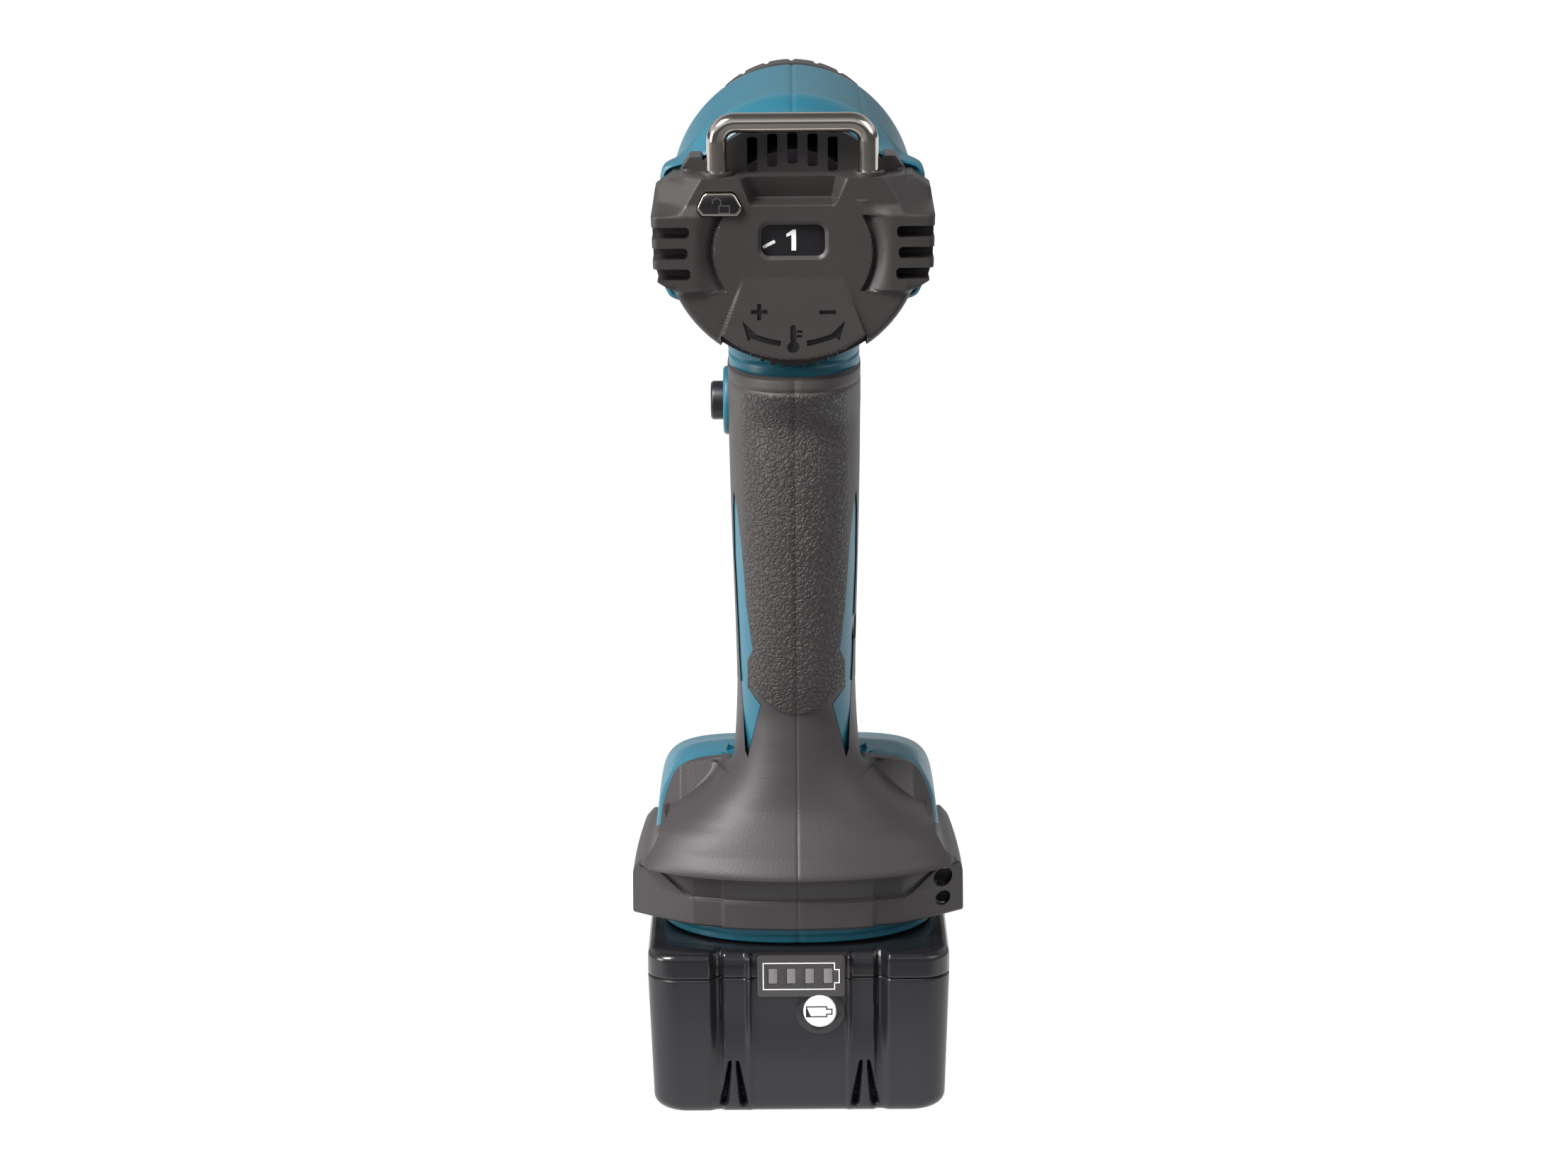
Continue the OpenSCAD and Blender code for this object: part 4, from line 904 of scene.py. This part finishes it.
def makeGrip():
    right = gripHalf("gripRight", 5.1)
    left = mirrored(gripHalf("gripLeftHalf", 8.65), "gripLeft")
    bpy.data.objects.remove(bpy.data.objects["gripLeftHalf"])
    cutWith(right, rodPiece("screwCut", 3.2, (9, 24, 119.9), "x", 12, 32))
    settle(right, "tool", "grip_rubber", "grip_right")
    settle(left, "tool", "grip_rubber", "grip_left")
    core = shelled(gridPiece("housingRightStripe", 70, 120, stripePlace), 2.5)
    cutWith(core, prismPiece("stripeKeep", stripeOutline(1, -0.06), -6, 25.9), how="INTERSECT")
    left = mirrored(core, "housingLeftStripe")
    cutWith(core, rodPiece("screwRoom", 2.9, (8, 24, 118.6), "x", 6.2, 32))
    settle(core, "tool", "teal", "housing_right")
    settle(left, "tool", "teal", "housing_left")
    inner = shelled(gridPiece("housingRightHandle", 90, 120, corePlace), 1.8)
    cutWith(inner, triggerRoom(), rodPiece("boltRoom", 5.0, (8, lockDepth, lockZ), "x", 20, 48))
    settle(inner, "tool", "teal", "housing_right")
    settle(mirrored(inner, "housingLeftHandle"), "tool", "teal", "housing_left")


makeGrip()
print("grip made")


# Base of the housing, with the channel that the pack slides into
base = {"low": 42.9, "height": 40.4, "wallShare": 0.93, "crownShare": 0.07, "middle": 50, "thick": 2.4}
baseTable = [
    [42.9, 6.2, 36, 100, 35.3, 2.3, 6], [50.0, 6.2, 36, 100, 35.6, 2.3, 6],
    [61.9, 19, 36, 100, 35.9, 2.4, 6], [70.9, 26, 38, 97, 35.0, 2.5, 5],
    [77.9, 30, 42, 72, 31.9, 2.6, 4], [81.9, 33, 44, 57, 27.3, 2.6, 3.5], [83.3, 36, 44, 52, 20.9, 2.6, 3],
]
channel = {"stem": 25.5, "head": 29.8, "rear": 18.5, "headZ": 48.0, "top": 52.9}


def basePlace(u, v):
    b = base
    z = b["low"] + (v / b["wallShare"]).clip(0, 1) * b["height"]
    x, depth = bodyRing(baseTable, z, u)
    # the crown closes in on the handle
    cap = ((v - b["wallShare"]) / b["crownShare"]).clip(0, 1)
    innerX, innerDepth = bodyRing(handle, z, u, -3.0)
    x, depth = x + (innerX - x) * cap, depth + (innerDepth - depth) * cap
    z = z + 0.5 * np.sin(cap * math.pi / 2)
    step = 0.55 * (1 - eased(z, 44.7, 44.95)) + 0.5 * np.exp(-((z - 45.0) / 0.22) ** 2)
    edge = 0.5 * (1 - eased(z - b["low"], 0, 0.6)) ** 2
    seam = 0.3 * np.exp(-(x / 0.4) ** 2)
    inset = step + edge + seam
    inwards = b["middle"] - depth
    return seamGap + x * (1 - inset / 35), depth + np.sign(inwards) * inset * np.abs(inwards) / 45, z


def deckPlace(u, v):
    z = 44.2 + v * 11
    x, depth = bodyRing(baseTable, z, u, -2.0)
    return x, depth, z


# A half body made solid, with a flat face on the middle plane
def filledHalf(name, columns, rows, place):
    made = gridPiece(name, columns, rows, place)
    bpy.ops.object.mode_set(mode="EDIT")
    bpy.ops.mesh.select_all(action="SELECT")
    bpy.ops.mesh.region_to_loop()
    bpy.ops.mesh.extrude_region_move()
    bpy.ops.transform.resize(value=(0, 1, 1), center_override=(0, 0, 0))
    bpy.ops.mesh.edge_face_add()
    outwards()
    return made


def makeBase():
    c = channel
    right = shelled(gridPiece("housingRightBase", 150, 110, basePlace), base["thick"])
    right = joined("housingRightBase", right, filledHalf("channelDeck", 60, 12, deckPlace))
    cutWith(right, barPiece("stemCut", -40, c["stem"], c["rear"], 140, 40, c["headZ"]),
            barPiece("headCut", -40, c["head"], c["rear"], 140, c["headZ"] - 0.3, c["top"]))
    settle(right, "tool", "teal", "housing_right")
    settle(mirrored(right, "housingLeftBase"), "tool", "teal", "housing_left")


makeBase()
print("base made")


# Soft boot; its edge is height and half width
boot = {"low": 47.3, "high": 106, "lip": 54.6, "arris": 61.0, "thick": 1.6}
bootEdge = [
    [47.3, 41.2], [48.2, 41.4], [57.5, 41.3], [59.5, 40.8], [62, 39.0], [64.7, 36.6], [66.8, 35.4],
    [68.6, 34.6], [71.8, 33.9], [74.8, 33.1], [77, 32.3], [80, 30.9], [81.7, 29.4], [82.7, 26.5],
    [83.4, 21], [84.6, 17.3], [86.5, 16.0], [92, 15.3], [98.9, 14.9], [106, 14.7],
]
strap = {  # each hole has its floor's name, its radius, the floor's radius and its height; each floor is a near-black disc of painted shade
    "x": 36.2, "shadeFloorDepth": 19.5,
    "holes": [("strapShadeFloor", 2.4, 2.9, 57.2), ("strapShadeFloorLow", 1.9, 2.5, 51.8)],
}
saddle = [  # height, rear, half width, depth, power, curve of the plan
    [47.3, 3.5, 45, 20, 8, 6.5], [54.6, 3.5, 45, 20, 8, 6.5],
    [61, 0.2, 39.5, 20, 8, 6.0], [66, 3.4, 37.6, 20, 5.5, 5.0],
    [69.3, 5.6, 36.3, 20, 4.0, 4.0], [72.4, 7.7, 32.0, 19, 3.2, 3.2], [76.4, 9.8, 26.0, 18, 2.7, 2.4],
    [80.8, 11.2, 20.5, 18, 2.5, 1.4], [85, 12.2, 17.6, 18, 2.35, 0.6], [88.4, 12.9, 16.3, 18, 2.3, 0.2],
    [92, 13.5, 15.4, 18, 2.3, 0], [98.9, 14.3, 14.7, 18, 2.3, 0], [106, 12.6, 14.6, 18.5, 2.3, 0],
]


def bootDepth(x, z):
    columns = np.array(saddle).T
    rear, half, reach, power, curve = [curveAt(columns[0], c, z) for c in columns[1:]]
    t = (x / half).clip(0, 1)
    slope = rear + curve * (x / 30) ** 2 + reach * (1 - (1 - t ** power).clip(0) ** (1 / power))
    slope = slope + (x - half).clip(0) * 2
    # upright wall under the coloured wings, turning the corner at its end
    wall = 25.5 + (z - 72) * 0.62 + (x - 29.4).clip(0) * 1.3 - 0.03 * (28 - x).clip(0)
    soft = 1.1
    near = np.clip(0.5 + 0.5 * (wall - slope) / soft / 2, 0, 1)
    depth = wall * (1 - near) + slope * near - soft * 2 * near * (1 - near)
    # undercut below the arris, then the lip with its facets
    arris = 0.2 + 6.0 * (x / 30) ** 2
    lipTop = boot["lip"] + (boot["arris"] - 0.4 - boot["lip"]) * eased(x, 25.5, 36.5)
    under = (z < boot["arris"]) * (z >= lipTop)
    lipFace = 3.6 + 5.0 * (x / 30) ** 2 + 1.0 * eased(x, 18.2, 19.2) + 0.34 * (x - 26).clip(0)
    rise = ((boot["arris"] - z) / (boot["arris"] - lipTop + 1e-6)).clip(0, 1)
    depth = np.where(under, arris + (lipFace + 0.9 - arris) * rise ** 0.5, depth)
    depth = np.where(z < lipTop, lipFace + 0.9 * (1 - eased(lipTop - z, 0, 0.7)), depth)
    depth = np.where(z < boot["low"] + 0.6, lipFace + 0.6 * (1 - (z - boot["low"]) / 0.6) ** 2, depth)
    # side bumper
    bumper = 11 + (x - 36.6).clip(0) * 2.1 + (z - 61).clip(0) * 1.9 + 0.25 * (x - 40.6).clip(0) ** 0.5
    depth = np.where((x > 36) & (z > lipTop), np.minimum(depth, bumper), depth)
    return depth


def bootPlace(u, v):
    z = boot["low"] + v * (boot["high"] - boot["low"])
    knots = np.array(bootEdge).T
    edge = curveAt(knots[0], knots[1], z)
    face = (u / 0.82).clip(0, 1)
    x = edge * face
    depth = bootDepth(x, z)
    back = ((u - 0.82) / 0.18).clip(0, 1)
    reach = curveAt([47, 62, 65.5, 68, 83.5, 86, 106], [62, 60, 45, 20, 20, 34, 34], z)
    front = np.maximum(depth + 0.5, reach) + 3.5 * eased(z, 66, 68) * (1 - eased(z, 84, 86))
    depth = depth + (front - depth) * back ** 1.5
    tuck = (1.6 + 0.8 * eased(z, 83, 86)) * back ** 3
    x = x - tuck
    depth = depth + 0.16 * np.exp(-(x / 0.3) ** 2)
    return seamGap + x, depth, z


def makeBoot():
    right = shelled(gridPiece("bootRight", 190, 200, bootPlace), boot["thick"])
    left = mirrored(right, "bootLeft")
    cutWith(left, prismPiece("stripeCut", stripeOutline(-1, 0.05), -6, 26))
    cutWith(right, prismPiece("stripeCut", stripeOutline(1, 0.05), -6, 26))
    for name, radius, floorRadius, z in strap["holes"]:
        cutWith(right, rodPiece("strapHole", radius, (strap["x"], 5, z), "y", 20, 32))
        # a near-black disc deep in the hole, in the ink material: painted shade
        bottom = rodPiece(name, floorRadius, (strap["x"], strap["shadeFloorDepth"], z), "y", 2, 32)
        settle(bottom, "tool", "boot_rubber", material="ink")
    settle(right, "tool", "boot_rubber", "boot_right", angle=26)
    settle(left, "tool", "boot_rubber", "boot_left", angle=26)


makeBoot()
print("boot made")


# Battery pack
pack = {
    "width": 75, "length": 115, "height": 42.4, "corner": 7, "split": 35.8, "splitGap": 0.08,
    "splitLine": 0.35, "taper": 1.2, "foot": (3.6, 3.8), "crown": 2.0,
    "sideGroove": 2.6, "column": 1.3, "panel": 1.2, "slit": 3.2,
}
gauge = {"x": 0.6, "z": 36.3, "face": 1.0, "lamps": 4, "lampStep": 4.55, "checkX": 5.2, "checkZ": 27.3}


# The pack's plan, from the middle of the rear, round the +X side, to the middle of the front
def packOutline(u, halfWidth, length, corner):
    flat, bend = halfWidth - corner, corner * math.pi / 2
    parts = [flat, bend, length - 2 * corner, bend, flat]
    weights = np.array([parts[0] * 6, parts[1] * 3, parts[2], parts[3] * 2, parts[4]])
    ends = np.concatenate([[0], np.cumsum(weights) / weights.sum()])
    x, depth = np.zeros_like(u), np.zeros_like(u)
    for k in range(5):
        t = ((u - ends[k]) / (ends[k + 1] - ends[k])).clip(0, 1)
        here = (u >= ends[k]) & (u <= ends[k + 1] + 1e-9)
        turn = t * math.pi / 2
        px = [t * parts[0], parts[0] + corner * np.sin(turn), halfWidth + 0 * t,
              parts[0] + corner * np.cos(turn), parts[0] * (1 - t)][k]
        pd = [0 * t, corner * (1 - np.cos(turn)), corner + t * parts[2],
              length - corner + corner * np.sin(turn), length + 0 * t][k]
        x, depth = np.where(here, px, x), np.where(here, pd, depth)
    return x, depth


# How far the rear wall lies in, at each distance from the middle and each height
def packRelief(x, z):
    p = pack
    groove = eased(x, 18.4, 19.6) * (1 - eased(x, 20.2, 22.6))
    column = eased(x, 12.2, 13.6) * (1 - eased(x, 18.6, 20.0))
    panel = 1 - eased(x, 11.4, 12.4)
    column = column * (0.4 + 0.6 * eased(z, 6, 30))
    relief = p["sideGroove"] * groove + p["column"] * column + p["panel"] * panel
    relief = relief * (0.35 + 0.65 * eased(z, 11, 27))
    relief = relief * (1 + 0.6 * eased(z, 38, 42))
    # fins at the foot of each column, between two slits
    height = ((14.2 - z) / 12).clip(0, 1)
    for side in (-1, 1):
        middle = 16.3 + side * (0.9 + 1.6 * height)
        wide = 0.25 + 0.55 * height
        slit = np.exp(-((x - middle) / wide) ** 2) * eased(z, 1.6, 3.2) * (1 - eased(z, 13.4, 14.4))
        relief = relief + p["slit"] * slit
    return relief


def packPlace(low, high):
    p = pack
    halfWidth, halfLength, corner, crownHigh = p["width"] / 2, p["length"] / 2, p["corner"], p["crown"]
    footDeep, footHigh = p["foot"]

    def place(u, v):
        side = np.where(u < 0.5, -1.0, 1.0)
        share = np.abs(u - 0.5) * 2
        z = low + v * (high - low)
        taper = p["taper"] * (1 - (z / p["split"]).clip(0, 1))
        foot = footDeep * (1 - np.sqrt((1 - (1 - (z / footHigh).clip(0, 1)) ** 2).clip(0)))
        above = ((z - p["height"] + crownHigh) / crownHigh).clip(0, 1)
        crown = crownHigh * (1 - np.sqrt((1 - above ** 2).clip(0)))
        line = p["splitLine"] * np.exp(-((z - p["split"]) / 0.25) ** 2)
        total = taper + foot + crown + line
        x, depth = packOutline(share, halfWidth, p["length"], corner)
        rear = np.where(depth < corner + 0.1, 1.0, 0.0)
        x = x * (1 - total / halfWidth)
        depth = depth + (halfLength - depth) / halfLength * total
        depth = depth + packRelief(x, z) * rear * eased(corner - depth, 0, 2)
        return side * x, depth, z

    return place


def packCase(name, low, high):
    rows = max(24, int((high - low) / 0.32))
    return closedRims(gridPiece(name, 640, rows, packPlace(low, high)), 1e-5)


def makePack():
    p, g = pack, gauge
    lower = packCase("packLowerCase", 0.0, p["split"] - p["splitGap"])
    upper = packCase("packUpperCase", p["split"] + p["splitGap"], p["height"])
    rail = barPiece("railStem", -25, 25, 20.5, 92, 41, 48.3)
    cutWith(rail, barPiece("railHead", -29.5, 29.5, 20.5, 92, 48.2, 52.4), how="UNION")
    for x in (-10, 0, 10):
        cutWith(rail, barPiece("bladeSlot", x - 1.3, x + 1.3, 19, 44.5, 48.6, 54))
    softEdges(rail, 0.4, 2)
    for case in (lower, upper):
        cutWith(case, barPiece("latchRoom", -13.3, 13.3, 106.7, 120, 20.8, 44),
                prismPiece("gaugeRoom", roundedOutline(g["x"], g["z"], 11, 5.35, 0.8), -2, 2.6),
                rodPiece("checkRoom", 4.3, (g["checkX"], -2, g["checkZ"]), "y", 5.4, 48))
    settle(lower, "battery", "gloss_black", "battery_lower_case", material="black_plastic", angle=30)
    settle(upper, "battery", "gloss_black", "battery_upper_case", angle=30)
    settle(rail, "battery", "gloss_black", "battery_upper_case")


# The outline of a battery: a box with a smaller box on its +X end
def batteryOutline(x0, x1, x2, z0, z1, z2, z3):
    return [(x0, z0), (x1, z0), (x1, z1), (x2, z1), (x2, z2), (x1, z2), (x1, z3), (x0, z3)]


def makeGauge():
    g = gauge
    face, checkX, checkZ = g["face"], g["checkX"], g["checkZ"]
    panel = prismPiece("gaugePanel", roundedOutline(g["x"], g["z"], 10.9, 5.25, 0.8), face, 2.6)
    bay = rodPiece("checkBay", 6.1, (checkX, face + 0.15, checkZ), "y", 1.7, 64)
    cutWith(bay, rodPiece("checkHole", 4.2, (checkX, -2, checkZ), "y", 5.4, 48))
    softEdges(bay, 0.35, 3)
    lights = []
    for k in range(g["lamps"]):
        x = g["x"] - 7.0 + g["lampStep"] * k
        cutWith(panel, barPiece("lampHole", x - 1.22, x + 1.22, -1, 2.0, 34.3, 38.5))
        lamp = barPiece("lamp", x - 1.15, x + 1.15, face + 0.12, 2.0, 34.4, 38.4)
        softEdges(lamp, 0.15, 2)
        lights.append(lamp)
    softEdges(panel, 0.18, 2)
    settle(panel, "battery", "gauge_panel", "gauge_panel")
    settle(bay, "battery", "gloss_black")
    settle(joined("gaugeLights", *lights), "battery", "gauge_light", "gauge_lights")
    outer = batteryOutline(-8.9, 9.0, 10.15, 32.85, 34.5, 38.2, 39.9)
    inner = batteryOutline(-8.65, 8.75, 9.9, 33.1, 34.75, 37.95, 39.65)
    outline = prismPiece("gaugeOutline", outer, face - 0.04, face + 0.2)
    cutWith(outline, prismPiece("gaugeInner", inner, -1, 3))
    settle(outline, "battery", "pale_plastic", material="paint")
    button = rodPiece("checkButton", 4.1, (checkX, 0.35, checkZ), "y", 2.1, 72)
    softEdges(button, 0.4, 3)
    settle(button, "gauge_check", "pale_plastic", "check_button")
    cell = batteryOutline(1.7, 7.0, 8.3, 25.85, 26.5, 28.1, 28.75)
    room = batteryOutline(2.9, 6.7, 8.0, 26.15, 26.8, 27.8, 28.45)
    room[-1] = (1.95, 28.45)  # the slanting edge of the charge
    sign = prismPiece("checkSign", cell, 0.31, 0.5)
    cutWith(sign, prismPiece("checkSignRoom", room, -1, 3))
    settle(sign, "gauge_check", "black_plastic", material="ink")


makePack()
makeGauge()
print("battery pack made")


# Trigger, drawn in profile and then turned to face forward
trigger = {"rear": 52.4, "front": 66, "hollow": 3.6, "low": 156, "high": 184, "width": 14, "steps": 14}


def makeTrigger():
    t = trigger
    finger = []
    for k in range(t["steps"] + 1):
        hollow = t["hollow"] * math.sin(math.pi * k / t["steps"]) ** 1.2
        finger.append((t["front"] - hollow, 157.5 + 25 * k / t["steps"]))
    side = [(t["rear"], t["low"]), (60.5, t["low"])] + finger + [(61, t["high"]), (t["rear"], t["high"])]
    made = prismPiece("triggerPiece", side, 0, t["width"])
    spots = np.empty(len(made.data.vertices) * 3)
    made.data.vertices.foreach_get("co", spots)
    spots = spots.reshape(-1, 3) / mm
    across, along, up = spots[:, 1] - rearPlane - t["width"] / 2, spots[:, 0], spots[:, 2]
    made.data.vertices.foreach_set("co", toWorld(across, along, up).ravel())
    bpy.ops.object.mode_set(mode="EDIT")
    outwards()
    softEdges(made, 1.4, 4, 50)
    settle(made, "trigger", "black_plastic", "trigger")


makeTrigger()
print("trigger made")


# Floor, dark towards the camera and glowing white behind
clearSelection()
bpy.ops.mesh.primitive_plane_add(size=studio["floorSize"], location=(0, 0, 0))
floor = bpy.context.object
floor.name = "floor"
floorFinish = newFinish("floorFinish")
floorFinish.set("Base Color", studio["floorColor"])
floorFinish.set("Roughness", studio["floorRoughness"])
floorFinish.set("Emission Strength", 1.0)
floorGlow = floorFinish.band(floorFinish.axes()[1], *studio["glowEdge"])
floorFinish.set("Emission Color", floorFinish.blend(floorGlow, studio["floorNear"], studio["floorGlow"]))
floor.data.materials.append(floorFinish.owner)
